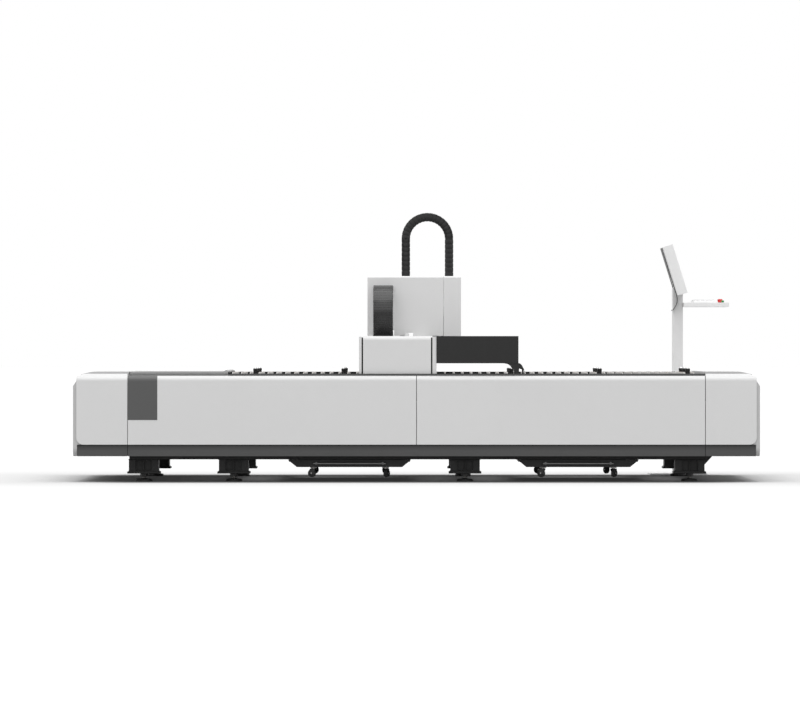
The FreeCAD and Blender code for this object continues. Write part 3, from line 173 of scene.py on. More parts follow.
for name, power, spread, tilt in (("overhead_softbox", 2.1, 70, 12), ("front_fill", 0.5, 60, 76)):
    lamp = bpy.data.lights.new(name, "SUN")
    lamp.energy = power
    lamp.angle = np.radians(spread)
    lamp_object = bpy.data.objects.new(name, lamp)
    lamp_object.location = (0, -2, 8)
    lamp_object.rotation_euler = (np.radians(tilt), 0, 0)
    scene.collection.objects.link(lamp_object)

camera = bpy.data.objects.new("camera", bpy.data.cameras.new("camera"))
camera.data.lens = 282.0
camera.data.sensor_width = 36.0
picture_shift, picture_width = 16.5, 800
camera.data.shift_x = -picture_shift / picture_width
camera.data.clip_end = 1000.0
camera.location = (0.0, -44.674, 0.897)
camera.rotation_euler = (np.radians(90), 0, 0)
scene.collection.objects.link(camera)
scene.camera = camera

# ---------------------------------------------------------------- side beams and cross members
# Two welded box beams carry the rails and eight box members tie them together underneath.
# Rolled steel tube under grey satin paint, with the edges of the tube left slightly round.


def noise(tree, place, scale, detail):
    """Fractal noise that wanders about a half."""
    return shader_node(tree, "TexNoise", {"Vector": place, "Scale": scale, "Detail": detail}).outputs[0]


def wear_group():
    """Object coordinates through noise of four sizes give broad tone, fine specks, runs stretched down a wall,
    dust on faces that look up, and a fine bumpy normal; every output but the normal goes from 0 to 1."""
    if "wear" in bpy.data.node_groups:
        return bpy.data.node_groups["wear"]
    group = bpy.data.node_groups.new("wear", "ShaderNodeTree")
    for name in ("Grain", "Bump"):
        group.interface.new_socket(name, in_out="INPUT", socket_type="NodeSocketFloat")
    for name in ("Tone", "Speck", "Runs", "Dust"):
        group.interface.new_socket(name, in_out="OUTPUT", socket_type="NodeSocketFloat")
    group.interface.new_socket("Normal", in_out="OUTPUT", socket_type="NodeSocketVector")
    given = group.nodes.new("NodeGroupInput")
    place = coordinates(group)
    tone = noise(group, place, 1.7, 5.0)
    speck = noise(group, place, 85.0, 3.0)
    stretched = shader_node(group, "Mapping", {"Vector": place, "Scale": (14.0, 14.0, 0.9)})
    runs = scaled(group, noise(group, stretched.outputs[0], 1.0, 6.0), 0.0, 1.0, 0.52, 0.78)
    up = shader_node(group, "SeparateXYZ", {0: group.nodes.new("ShaderNodeNewGeometry").outputs["Normal"]})
    facing_up = scaled(group, up.outputs[2], 0.0, 1.0, 0.5, 1.0)
    dust = math(group, "MULTIPLY", facing_up, noise(group, place, 9.0, 7.0))
    grain = noise(group, place, given.outputs["Grain"], 2.0)
    bump = shader_node(group, "Bump", {"Height": grain, "Strength": given.outputs["Bump"], "Distance": 0.0006})
    result = group.nodes.new("NodeGroupOutput")
    for name, socket in (("Tone", tone), ("Speck", speck), ("Runs", runs), ("Dust", dust),
                         ("Normal", bump.outputs[0])):
        group.links.new(socket, result.inputs[name])
    return group


def blended(tree, share, first, second):
    """Colour that goes from first to second as share goes from 0 to 1."""
    mix = shader_node(tree, "Mix", {0: share, 6: first, 7: second}, data_type="RGBA")
    return mix.outputs[2]


def nodes_of(material):
    """The material's node tree and its surface shader."""
    return material.node_tree, material.node_tree.nodes["Principled BSDF"]


def laid_over(material, share, colour):
    """Puts the colour over the material's own by the share."""
    tree, shader = nodes_of(material)
    own = shader.inputs["Base Color"].links[0].from_socket
    tree.links.new(blended(tree, share, own, colour), shader.inputs["Base Color"])


def painted(name, colour, roughness, dirt=0.15, bump=0.12, grain=520.0, coat=0.0, metal=0.0, spread=0.035,
            gloss=0.5):
    """Sprayed or moulded finish: the colour gets broad light and dark patches by the share spread, thin runs and
    settled dust by the share dirt, and a roughness that wanders with the fine specks."""
    material = bpy.data.materials.new(name)
    material.use_nodes = True
    tree, shader = nodes_of(material)
    wear = shader_node(tree, "Group", node_tree=wear_group())
    wear.inputs["Grain"].default_value = grain
    wear.inputs["Bump"].default_value = bump
    dark, light = (tuple(c * share for c in colour[:3]) + (1.0,) for share in (1 - spread, 1 + spread))
    toned = blended(tree, scaled(tree, wear.outputs["Tone"], 0.0, 1.0), dark, light)
    mean = sum(colour[:3]) / 3
    grime = tuple(0.82 * c + 0.18 * (0.16 + 0.2 * mean) for c in (mean * 1.02, mean, mean * 0.96)) + (1.0,)
    streaked = blended(tree, math(tree, "MULTIPLY", wear.outputs["Runs"], dirt * 0.7), toned, grime)
    dust_colour = tuple(0.7 * c + 0.3 * v for c, v in zip(colour[:3], (0.44, 0.42, 0.39))) + (1.0,)
    dusty = blended(tree, math(tree, "MULTIPLY", wear.outputs["Dust"], dirt), streaked, dust_colour)
    tree.links.new(dusty, shader.inputs["Base Color"])
    tree.links.new(scaled(tree, wear.outputs["Speck"], roughness * 0.86, roughness * 1.16), shader.inputs["Roughness"])
    tree.links.new(wear.outputs["Normal"], shader.inputs["Normal"])
    for name, value in (("Metallic", metal), ("Coat Weight", coat), ("Coat Roughness", 0.18),
                        ("Specular IOR Level", gloss)):
        shader.inputs[name].default_value = value
    return material


def placed(name, mesh, body, material, smooth=32.0):
    """Links a finished mesh as a piece of the body, smooth except across edges sharper than the angle."""
    mesh.polygons.foreach_set("use_smooth", np.ones(len(mesh.polygons), bool))
    mesh.set_sharp_from_angle(angle=np.radians(smooth))
    mesh.materials.append(material)
    piece = bpy.data.objects.new(name, mesh)
    scene.collection.objects.link(piece)
    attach(piece, body)
    return piece


def eased(name, node, material, width=0.0015, sharp=38.0, segments=2):
    """A node's shell with its triangles merged and every edge sharper than the angle rounded off by width."""
    work = bmesh.new()
    work.from_mesh(frame["nodes"][node].data)
    bmesh.ops.remove_doubles(work, verts=work.verts, dist=3e-5)
    bmesh.ops.dissolve_limit(work, angle_limit=np.radians(0.6), verts=work.verts, edges=work.edges)
    edges = [e for e in work.edges if len(e.link_faces) == 2 and e.calc_face_angle(0.0) > np.radians(sharp)]
    bmesh.ops.bevel(work, geom=edges, offset=width, offset_type="OFFSET", segments=segments, profile=0.5,
                    affect="EDGES", clamp_overlap=True)
    bmesh.ops.recalc_face_normals(work, faces=work.faces)
    mesh = bpy.data.meshes.new(name)
    work.to_mesh(mesh)
    work.free()
    for layer in ("custom_normal", "sharp_edge", "sharp_face"):
        if layer in mesh.attributes:
            mesh.attributes.remove(mesh.attributes[layer])
    piece = placed(name, mesh, frame["nodes"][node]["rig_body"], material)
    piece.modifiers.new("even_faces", "WEIGHTED_NORMAL").keep_sharp = True
    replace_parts(piece, node)
    return piece


beam_paint = painted("beam_paint", grey(182), 0.45, dirt=0.35, bump=0.2)
black_paint = painted("black_paint", grey(26), 0.42, dirt=0.12, bump=0.2, gloss=0.25)
for side in ("near", "far"):
    eased("side_beam_tube_" + side, "side_beam_" + side, beam_paint, 0.004)
eased("cross_member_tubes", "cross_members", black_paint, 0.003)

# ---------------------------------------------------------------- chassis rails, legs and weld beads
# Two lower box rails stand on eight short welded posts, each with a ribbed recess and a foot plate.
# Black powder coat over rippled weld beads where a post meets its foot plate and the rail above.


def skin(rings, loop=False):
    """Vertices and faces of rings of points, given as (stations, points, 3): each ring is joined to the next by
    four-sided faces, and the end rings are closed by one face each, or joined to each other with loop."""
    rings = np.asarray(rings, float)
    stations, points = rings.shape[:2]
    number = np.arange(stations * points).reshape(stations, points)
    last = stations if loop else stations - 1
    a = number[:last]
    b = np.roll(number, -1, 0)[:last]
    quads = np.stack([a, np.roll(a, -1, 1), np.roll(b, -1, 1), b], -1).reshape(-1, 4).tolist()
    if not loop:
        quads += [number[0, ::-1].tolist(), number[-1].tolist()]
    return rings.reshape(-1, 3), quads


def repeated(part, offsets):
    """The part once at each offset, as one list of vertices and faces."""
    points, faces = part
    offsets = np.asarray(offsets, float).reshape(-1, 1, 3)
    every = (offsets + points[None]).reshape(-1, 3)
    count = len(points)
    return every, [[v + n * count for v in face] for n in range(len(offsets)) for face in faces]


def gathered(parts):
    """Several parts as one list of vertices and faces."""
    points, faces, start = [], [], 0
    for part_points, part_faces in parts:
        points.append(np.asarray(part_points, float))
        faces += [[v + start for v in face] for face in part_faces]
        start += len(part_points)
    return np.concatenate(points), faces


def made(name, parts, body, material, smooth=32.0):
    """One piece from several parts, with the faces of each closed part turned outwards."""
    points, faces = gathered(parts)
    mesh = bpy.data.meshes.new(name)
    mesh.from_pydata(points.tolist(), [], faces)
    work = bmesh.new()
    work.from_mesh(mesh)
    bmesh.ops.recalc_face_normals(work, faces=work.faces)
    work.to_mesh(mesh)
    work.free()
    return placed(name, mesh, body, material, smooth)


def turned_round(profile, centre, sides=24, axis=2):
    """Closed lathe form: each (radius, height) pair becomes a ring of the given number of sides round the axis
    through centre, with radius times cosine and sine of the angle and the height along the axis."""
    angle = np.linspace(0, 2 * np.pi, sides, endpoint=False)
    profile = np.asarray(profile, float)
    ring = np.zeros((len(profile), sides, 3))
    first, second = [(1, 2), (2, 0), (0, 1)][axis]
    ring[..., first] = profile[:, :1] * np.cos(angle)
    ring[..., second] = profile[:, :1] * np.sin(angle)
    ring[..., axis] = profile[:, 1:]
    return skin(ring + np.asarray(centre, float))


def slab(x0, x1, y0, y1, z0, z1, ease=0.001):
    """Box with its upright and its level edges cut back by ease: an octagon at four heights."""
    def ring(inset, z):
        a, b, c, d = x0 + inset, x1 - inset, y0 + inset, y1 - inset
        e = ease
        return [(a + e, c, z), (b - e, c, z), (b, c + e, z), (b, d - e, z), (b - e, d, z), (a + e, d, z),
                (a, d - e, z), (a, c + e, z)]
    return skin([ring(ease, z0), ring(0, z0 + ease), ring(0, z1 - ease), ring(ease, z1)])


def weld_bead(corners, radius=0.0035, pitch=0.006):
    """Bead along a closed level path of corners: a six-sided tube whose radius swells by a tenth once a pitch."""
    corners = np.asarray(corners, float)
    steps = np.roll(corners, -1, 0) - corners
    lengths = np.linalg.norm(steps, axis=1)
    ends = np.concatenate([[0], np.cumsum(lengths)])
    along = np.linspace(0, ends[-1], int(ends[-1] / pitch * 3), endpoint=False)
    closed = np.vstack([corners, corners[:1]])
    line = np.stack([np.interp(along, ends, closed[:, k]) for k in range(3)], -1)
    ahead = np.roll(line, -1, 0) - np.roll(line, 1, 0)
    ahead /= np.linalg.norm(ahead, axis=1)[:, None]
    out = np.cross(ahead, (0.0, 0.0, 1.0))
    swell = radius * (1 + 0.1 * np.sin(2 * np.pi * along / pitch))
    angle = np.linspace(0, 2 * np.pi, 6, endpoint=False)
    rings = (line[:, None] + swell[:, None, None] * (np.cos(angle)[None, :, None] * out[:, None]
             + np.sin(angle)[None, :, None] * np.array((0.0, 0.0, 1.0))))
    return skin(rings, loop=True)


def middle_of(node):
    """Middle of the node's box."""
    return [(low + high) / 2 for low, high in zip(*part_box(node))]


eased("chassis_rail_tubes", "chassis_rails", black_paint, 0.003)
eased("leg_posts", "legs", black_paint, 0.0025)
leg_centres = [-1.888, -1.265, 0.336, 1.891]
middle_y = middle_of("legs")[1]
leg_half = 0.102
post_rows = [(middle_y - 1.05, middle_y - 0.86), (middle_y + 0.86, middle_y + 1.05)]
bead_heights = (0.0715, 0.1525)
beads = [weld_bead([(x - leg_half, y0, z), (x + leg_half, y0, z), (x + leg_half, y1, z), (x - leg_half, y1, z)])
         for x in leg_centres for y0, y1 in post_rows for z in bead_heights]
made("leg_welds", beads, "bed", black_paint, smooth=60)

# ---------------------------------------------------------------- leveling feet
# Eight round pads on threaded studs, each locked by a hexagon nut under the foot plate.
# Blackened steel, with a thin rubber ring under the pad and a rolled thread on the stud.
blackened = painted("blackened_steel", grey(58), 0.38, dirt=0.25, bump=0.15, metal=0.7)
rubber = painted("black_rubber", grey(30), 0.75, dirt=0.4, bump=0.4, grain=900)


def thread(centre, radius, z0, z1, pitch, sides=20):
    """Stud with a screw thread: the radius at each height and turn drops by half a pitch between two crests, as a
    triangle wave of height over pitch minus turn over a full circle."""
    heights = np.linspace(z0, z1, int((z1 - z0) / pitch * 6) + 1)
    angle = np.linspace(0, 2 * np.pi, sides, endpoint=False)
    phase = (heights[:, None] / pitch - angle[None] / (2 * np.pi)) % 1.0
    reach = radius - 0.55 * pitch * np.abs(2 * phase - 1)
    rings = np.stack([centre[0] + reach * np.cos(angle), centre[1] + reach * np.sin(angle),
                      np.broadcast_to(heights[:, None], reach.shape)], -1)
    return skin(rings)


feet, soles, studs = [], [], []
foot_out = 0.955
nut = 0.048 / 3 ** 0.5
for x in leg_centres:
    for y in (middle_y - foot_out, middle_y + foot_out):
        soles.append(turned_round([(0.054, 0), (0.0585, 0.0015), (0.0585, 0.006), (0.054, 0.0075)], (x, y, 0), 40))
        feet.append(turned_round([(0.050, 0.0074), (0.0575, 0.0076), (0.0575, 0.013), (0.054, 0.0175),
                                  (0.036, 0.0205), (0.020, 0.021), (0.018, 0.024)], (x, y, 0), 40))
        feet.append(turned_round([(nut * 0.93, 0.036), (nut, 0.038), (nut, 0.0535), (nut * 0.93, 0.0557)],
                                 (x, y, 0), 6))
        studs.append(thread((x, y), 0.012, 0.0225, 0.0655, 0.003))
made("foot_pads", feet, "bed", blackened)
made("foot_soles", soles, "bed", rubber)
zinc = painted("zinc_plate", grey(168, 0.02), 0.3, dirt=0.2, bump=0.1, metal=0.95)
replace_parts(made("foot_studs", studs, "bed", zinc, smooth=20), "leveling_feet")

# ---------------------------------------------------------------- long rails and racks
# Ground profile rails on both beams, bolted every 80 mm under pressed caps, and racks with 6.28 mm teeth.
# Hardened steel, ground bright and thinly oiled; the drive pinions run in the racks' outer faces.


def ground(name, colour, roughness, scratches=(260.0, 3.0, 260.0), dirt=0.12, swing=0.1):
    """Bare steel: fine scratches from noise stretched along the grinding direction set the roughness and a slight
    bump, over broad patches of tone and settled dust."""
    material = painted(name, colour, roughness, dirt=dirt, bump=0.05, metal=1.0, spread=0.06)
    tree, shader = nodes_of(material)
    drawn = shader_node(tree, "Mapping", {"Vector": coordinates(tree), "Scale": scratches})
    lines = noise(tree, drawn.outputs[0], 1.0, 3.0)
    tree.links.new(scaled(tree, lines, roughness - swing, roughness + swing), shader.inputs["Roughness"])
    relief = shader_node(tree, "Bump", {"Height": lines, "Strength": 0.15, "Distance": 0.0004})
    tree.links.new(relief.outputs[0], shader.inputs["Normal"])
    return material


def mirrored_y(part):
    """The part on the other side of the bed's middle line."""
    points, faces = part
    return points * (1, -1, 1) + (0, 2 * middle_y, 0), faces


def both_sides(parts):
    """The parts, and then the same parts on the other side of the bed's middle line."""
    return parts + [mirrored_y(part) for part in parts]


def rail_section(half, depth):
    """Closed section of a guide rail: chamfered head, a round ball groove in each side and a wide foot."""
    side = [(half, 0.0), (half, depth * 0.36), (half * 0.90, depth * 0.44), (half * 0.74, depth * 0.52),
            (half * 0.72, depth * 0.62), (half * 0.80, depth * 0.72), (half * 0.97, depth * 0.79),
            (half, depth * 0.84), (half, depth * 0.95), (half * 0.94, depth)]
    return np.array(side + [(-a, b) for a, b in side[::-1]])


def rack_strip(x0, x1, root, tip, back, z0, z1, pitch=0.00628):
    """Rack as four lines along its length, two at the toothed face and two at the back: the face stands at the tip
    or the root by the phase of x over the pitch, with sloped flanks between."""
    phase = np.array([0.0, 0.28, 0.5, 0.78])
    teeth = int((x1 - x0) / pitch)
    x = (x0 + pitch * (np.arange(teeth)[:, None] + phase[None])).reshape(-1)
    face = np.tile([tip, tip, root, root], teeth)
    flat = np.full_like(x, back)
    lines = [np.stack([x, y, np.full_like(x, z)], -1) for y, z in ((face, z1), (flat, z1), (flat, z0), (face, z0))]
    return skin(np.stack(lines, 1))


rail_steel = ground("rail_steel", grey(176), 0.3)
rack_steel = ground("rack_steel", grey(150), 0.38, scratches=(30, 400, 400))
rail_out, rail_base, rail_top = 0.96, 0.715, 0.745
rail_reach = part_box("x_rails_and_racks")[1].x
head = rail_section(0.015, 0.03)
rail_ring = np.stack([np.zeros(len(head)), middle_y + rail_out + head[:, 0], rail_base + head[:, 1]], -1)
far_rail = skin([rail_ring + (-rail_reach, 0, 0), rail_ring + (rail_reach, 0, 0)])
far_rack = rack_strip(-rail_reach + 0.0004, rail_reach, middle_y + 1.0306, middle_y + 1.0349, middle_y + 1.0102,
                      0.7152, 0.7449)
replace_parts(made("long_rails", both_sides([far_rail]), "bed", rail_steel), "x_rails_and_racks")
made("long_racks", both_sides([far_rack]), "bed", rack_steel, smooth=15)
cap_rows = [(x, middle_y + s * rail_out, rail_top) for x in np.arange(-1.95, 1.96, 0.08) for s in (-1, 1)]
made("rail_bolt_caps", [repeated(turned_round([(0.0068, -0.001), (0.0068, 0.0), (0.0060, 0.00035), (0.0022, 0.00025)],
                                              (0, 0, 0), 10), cap_rows)],
     "bed", blackened)
rack_screws = [(x, middle_y + s * 1.0175, 0.7447) for x in np.arange(-1.92, 1.93, 0.12) for s in (-1, 1)]
made("rack_screws", [repeated(turned_round([(0.0042, 0.0), (0.0042, 0.0007), (0.0022, 0.0007), (0.0019, 0.0002)],
                                           (0, 0, 0), 8), rack_screws)],
     "bed", blackened)

# ---------------------------------------------------------------- cable troughs and table ledges
# Folded channels beside the beams, the near one for the long drag chain, and the angles that hold the table, with
# a low strip on the far beam that keeps sparks off the rail.
# Dark grey powder coat over folded sheet and rolled angle.
trough_paint = painted("trough_paint", grey(76), 0.45, dirt=0.2, bump=0.2, gloss=0.3)
eased("trough_sheets", "cable_troughs", trough_paint, 0.0008)
eased("ledge_angles", "table_ledges", trough_paint, 0.0015)
made("chain_guide_clips", [slab(x, x + 0.05, middle_y - 1.1585, middle_y - 1.1545, 0.565, 0.60)
                           for x in np.arange(-1.2, 2.2, 0.4)], "bed", black_paint)
guard_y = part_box("table_ledges")[1].y + 0.001
guard = slab(-1.305, 1.984, guard_y, guard_y + 0.003, rail_base + 0.0002, 0.7553, 0.0006)
made("spark_guard", [guard], "bed", black_paint)

# ---------------------------------------------------------------- slat table
# Fifty-three toothed slats stand on edge in the combs of a welded frame and lift out when they are worn.
# Mill-finish steel, blued and browned where the beam has passed over the tips; the combs are painted.
slat_steel = ground("slat_steel", grey(205), 0.45, scratches=(300.0, 5.0, 60.0), dirt=0.0)
slat_tree, slat_shader = nodes_of(slat_steel)
slat_place = coordinates(slat_tree)
slat_height = shader_node(slat_tree, "SeparateXYZ", {0: slat_place})
heat = noise(slat_tree, slat_place, 11.0, 4.0)
lifted = math(slat_tree, "MULTIPLY_ADD", heat, 0.03, slat_height.outputs[2])
scorch_low, scorch_high = 0.758, 0.785
scorch = shader_node(slat_tree, "ValToRGB", {0: scaled(slat_tree, lifted, 0.0, 1.0, scorch_low, scorch_high)})
scorch.color_ramp.elements[0].color = grey(215, 0.01)
scorch.color_ramp.elements[1].color = grey(44, 0.04)
for spot, colour in ((0.4, grey(200, 0.03)), (0.62, (0.30, 0.23, 0.16, 1)), (0.8, (0.080, 0.085, 0.110, 1))):
    scorch.color_ramp.elements.new(spot).color = colour
laid_over(slat_steel, scaled(slat_tree, heat, 0.7, 1.0), scorch.outputs[0])
slat_shader.inputs["Metallic"].default_value = 0.6
slat_mesh = frame["nodes"]["slats"].data
slat_mesh.materials.clear()
slat_mesh.materials.append(slat_steel)
eased("comb_plates", "slat_frame", black_paint, 0.0008)

# ---------------------------------------------------------------- ball supports
# Six square bars between the slats, each with three spring-loaded ball units that carry a sheet while it is loaded.
# Black bars, blackened cups with a grooved collar, and polished steel balls.
slat_start, slat_pitch, bar_spacing = -1.28, 0.0617, 0.598
gaps = [round((2.6 * slat_pitch + n * bar_spacing) / slat_pitch - 0.5) for n in range(6)]
bar_places = [slat_start + (gap + 0.5) * slat_pitch for gap in gaps]
ball_radius, ball_z, ball_spacing = 0.011, 0.78, 0.56
turn = np.linspace(-0.45 * np.pi, 0.49 * np.pi, 12)
ball = np.stack([ball_radius * np.cos(turn), ball_z + ball_radius * np.sin(turn)], -1)
polished = ground("polished_steel", grey(205), 0.16, scratches=(400, 400, 400), dirt=0.05, swing=0.05)
bars, cups, balls = [], [], []
for x in bar_places:
    bars.append(slab(x - 0.012, x + 0.012, middle_y - 0.786, middle_y + 0.786, 0.716, 0.740, 0.0012))
    for y in (middle_y - ball_spacing, middle_y, middle_y + ball_spacing):
        cups.append(turned_round([(0.0150, 0.739), (0.0155, 0.764), (0.0160, 0.766), (0.0170, 0.768), (0.0170, 0.7715),
                                  (0.0160, 0.7722), (0.0160, 0.7738), (0.0170, 0.7745), (0.0170, 0.7790),
                                  (0.0155, 0.7812), (0.0118, 0.7818), (0.0110, 0.7795)], (x, y, 0), 28))
        balls.append(turned_round(ball, (x, y, 0), 24))
made("ball_bars", bars, "bed", black_paint)
made("ball_cups", cups, "bed", blackened)
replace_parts(made("support_balls", balls, "bed", polished, smooth=60), "ball_supports")

# ---------------------------------------------------------------- parking deck
# Chequered plate at the left end where the gantry parks, with a small ramp to the first slat.
# Grey painted steel with raised almond-shaped treads.
deck_paint = painted("deck_paint", grey(165), 0.5, dirt=0.5, bump=0.3)
eased("deck_sheet", "deck_plate", deck_paint, 0.0012)


def swivelled(part, x, y, turn):
    """The part turned by degrees about an upright axis through the origin and then moved level to its place."""
    points, faces = part
    c, s = np.cos(np.radians(turn)), np.sin(np.radians(turn))
    moved = np.stack([x + points[:, 0] * c - points[:, 1] * s, y + points[:, 0] * s + points[:, 1] * c,
                      points[:, 2]], -1)
    return moved, faces


deck_low, deck_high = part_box("deck_plate")
tread_points, tread_faces = turned_round([(0.0, 0.0012), (0.35, 0.0012), (1.0, 0.0)], (0, 0, 0.7598), 10)
tread = (tread_points * (0.0115, 0.0033, 1.0), tread_faces)
tread_rows, tread_columns, tread_slant = 28, 66, 45.0
made("deck_treads", [swivelled(tread, -1.965 + 0.0225 * row, middle_y - 0.858 + 0.0262 * column,
                               tread_slant if (row + column) % 2 == 0 else -tread_slant)
                     for row in range(tread_rows) for column in range(tread_columns)],
     "bed", deck_paint, smooth=60)
deck_edge = slab(deck_low.x, deck_high.x, middle_y - 0.8822, middle_y - 0.8802, 0.7462, 0.7596)
made("deck_edges", both_sides([deck_edge]), "bed", deck_paint)

# ---------------------------------------------------------------- panels, skirts, end covers and caps
# Folded sheet panels hang on the side beams over a dark skirt, with deep covers on the ends and caps on top.
# White satin powder coat, the ends a shade greyer; a black rubber seal closes the gap between panel and skirt, and
# it and the skirt's darkened top are painted shade for the shadow beneath the panel's edge.
white_paint = painted("white_paint", grey(218), 0.36, dirt=0.05, bump=0.1, coat=0.15, spread=0.012)
end_paint = painted("end_cover_paint", grey(190), 0.4, dirt=0.08, bump=0.1, spread=0.02)
skirt_paint = painted("skirt_paint", grey(76), 0.45, dirt=0.15, bump=0.15, gloss=0.3)
skirt_tree = skirt_paint.node_tree
skirt_place = shader_node(skirt_tree, "SeparateXYZ", {0: coordinates(skirt_tree)})
# Painted shade: the skirt's colour goes towards near black at its top, beneath the overhang of the panel's edge.
overhang_shade_low, overhang_shade_high = 0.215, 0.254
laid_over(skirt_paint, scaled(skirt_tree, skirt_place.outputs[2], 0.0, 0.62, overhang_shade_low, overhang_shade_high), grey(24))
for piece, node in (("left_side_panel", "side_panel_near_left"), ("right_side_panel", "side_panel_near_right"),
                    ("far_side_panels", "side_panels_far"), ("corner_panel_set", "corner_panels"),
                    ("end_cap_sheets", "end_caps")):
    eased(piece, node, white_paint, 0.0012)
eased("end_cover_sheets", "end_covers", end_paint, 0.0012)
eased("skirt_sheets", "skirts", skirt_paint, 0.001)
seam_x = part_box("side_panel_near_right")[1].x + 0.002
panel_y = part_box("corner_panels")[0].y
panel_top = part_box("corner_panels")[1].z


def corner_lip(side):
    """Folded lip along the corner panel's inner edge: a flat strip that leans in and up at 45 degrees, with its
    outer end cut back along a quarter of a circle."""
    turn = np.linspace(0, np.pi / 2, 9)
    reach = np.concatenate([[seam_x + 0.004], seam_x + 0.296 + 0.03 * np.sin(turn)])
    rise = np.concatenate([[0.0145], 0.0145 * np.cos(turn)])
    y, z = panel_y + 0.0375, panel_top - 0.0008
    rings = [np.stack([side * reach, np.full_like(reach, y), np.full_like(reach, z)], -1),
             np.stack([side * reach, y + rise, z + rise], -1),
             np.stack([side * reach, y + rise + 0.0012, z + rise - 0.0006], -1),
             np.stack([side * reach, np.full_like(reach, y + 0.0016), np.full_like(reach, z)], -1)]
    return skin(np.stack(rings, 1))


made("corner_lips", both_sides([corner_lip(-1), corner_lip(1)]), "bed", white_paint)
# The black seals are partly a real seal and partly painted shade: they give the dark shadow line beneath the panels'
# edge.
seals = [slab(x0, x1, panel_y + 0.0026, panel_y + 0.0056, 0.2500, 0.2579, 0.0008)
         for x0, x1 in ((-2.338, -1.9935), (-1.9905, 1.9905), (1.9935, 2.338))]
made("skirt_shade_seals", both_sides(seals), "bed", rubber)
joiners = [slab(x - 0.02, x + 0.02, panel_y + 0.0082, panel_y + 0.0112, 0.1810, 0.2540, 0.0008)
           for x in (-seam_x, seam_x)]
made("skirt_joiners", both_sides(joiners), "bed", black_paint)

# ---------------------------------------------------------------- panel locks
# Quarter-turn locks with slotted heads hold the long panels on the far side; the near side has none.
# Zinc plated, set nearly flush in the sheet.
far_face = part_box("side_panels_far")[1].y
lock_form = turned_round([(0.0120, -0.0025), (0.0120, 0.0), (0.0112, 0.0009), (0.0088, 0.0011), (0.0082, 0.0003)],
                         (0, 0, 0), 24, axis=1)
lock_slot = slab(-0.0070, 0.0070, 0.0002, 0.0010, -0.0011, 0.0011, 0.0003)
lock_places = [(x, far_face - 0.0011, z) for x in (-1.85, -1.0, -0.12, 0.12, 1.0, 1.85) for z in (0.31, 0.63)]
made("panel_locks", [repeated(lock_form, lock_places)], "bed", zinc)
made("panel_lock_slots", [repeated(lock_slot, lock_places)], "bed", blackened)

# ---------------------------------------------------------------- plain plate
# Flat plate glued across the joint of the left corner panel and the long panel, left bare.
# Dark grey satin paint on thin sheet, bent over the panel's rounded top edge.
plate_paint = painted("plate_paint", grey(80), 0.4, dirt=0.04, bump=0.08, coat=0.35, spread=0.015, gloss=0.3)
eased("plain_plate", "badge_panel", plate_paint, 0.0004)
plate_low, plate_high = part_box("badge_panel")
turn = np.linspace(0, np.pi / 2, 13)
bend_y, bend_z = panel_y + 0.035, panel_top - 0.035
profile = [(bend_y - r * np.cos(t), bend_z + r * np.sin(t))
           for r, path in ((0.0364, turn), (0.0351, turn[::-1])) for t in path]
profile = [(plate_low.y + 0.0001, plate_high.z - 0.001)] + profile + [(plate_low.y + 0.0014, plate_high.z - 0.001)]
made("plain_plate_bend", [skin([[(x, y, z) for y, z in profile] for x in (plate_low.x, plate_high.x)])],
     "bed", plate_paint)

# ---------------------------------------------------------------- slag drawers
# Two shallow trays with leaning ends slide out on angle runners; each front has sloped ends and a bar handle.
# Black powder coat outside, with the tray floors scratched bare and heat-stained where slag has lain.
drawer_paint = painted("drawer_paint", grey(34), 0.45, dirt=0.3, bump=0.25, spread=0.08, gloss=0.25)
eased("runner_angles", "drawer_runners", black_paint, 0.001)


def leaning_tray(left, right, front, back):
    """Closed shell of an open tray: level rectangles go up the outside, over the rim and down the inside to the
    floor, each further in from the two ends the lower it lies, so that both end walls lean."""
    levels = ((0.052, 0.0030, 0.0, 0.1010), (0.020, 0.0030, 0.0, 0.1445), (0.023, 0.0070, 0.003, 0.1445),
              (0.055, 0.0070, 0.003, 0.1040))
    return skin([[(left + a, front + b, z), (right - a, front + b, z), (right - a, back - c, z),
                  (left + a, back - c, z)] for a, b, c, z in levels])


def sloped_front(left, right, front):
    """Front plate: a four-cornered outline, wider at the top, at four depths with both faces drawn in slightly."""
    outline = np.array([(left - 0.012, 0.1520), (right + 0.012, 0.1520), (right - 0.051, 0.1010),
                        (left + 0.051, 0.1010)])
    middle = outline.mean(0)
    rings = []
    for depth, inset in ((0.0, 0.0008), (0.0008, 0.0), (0.0032, 0.0), (0.0040, 0.0008)):
        drawn = outline - np.sign(outline - middle) * inset
        rings.append(np.stack([drawn[:, 0], np.full(4, front + depth), drawn[:, 1]], -1))
    return skin(np.stack(rings))


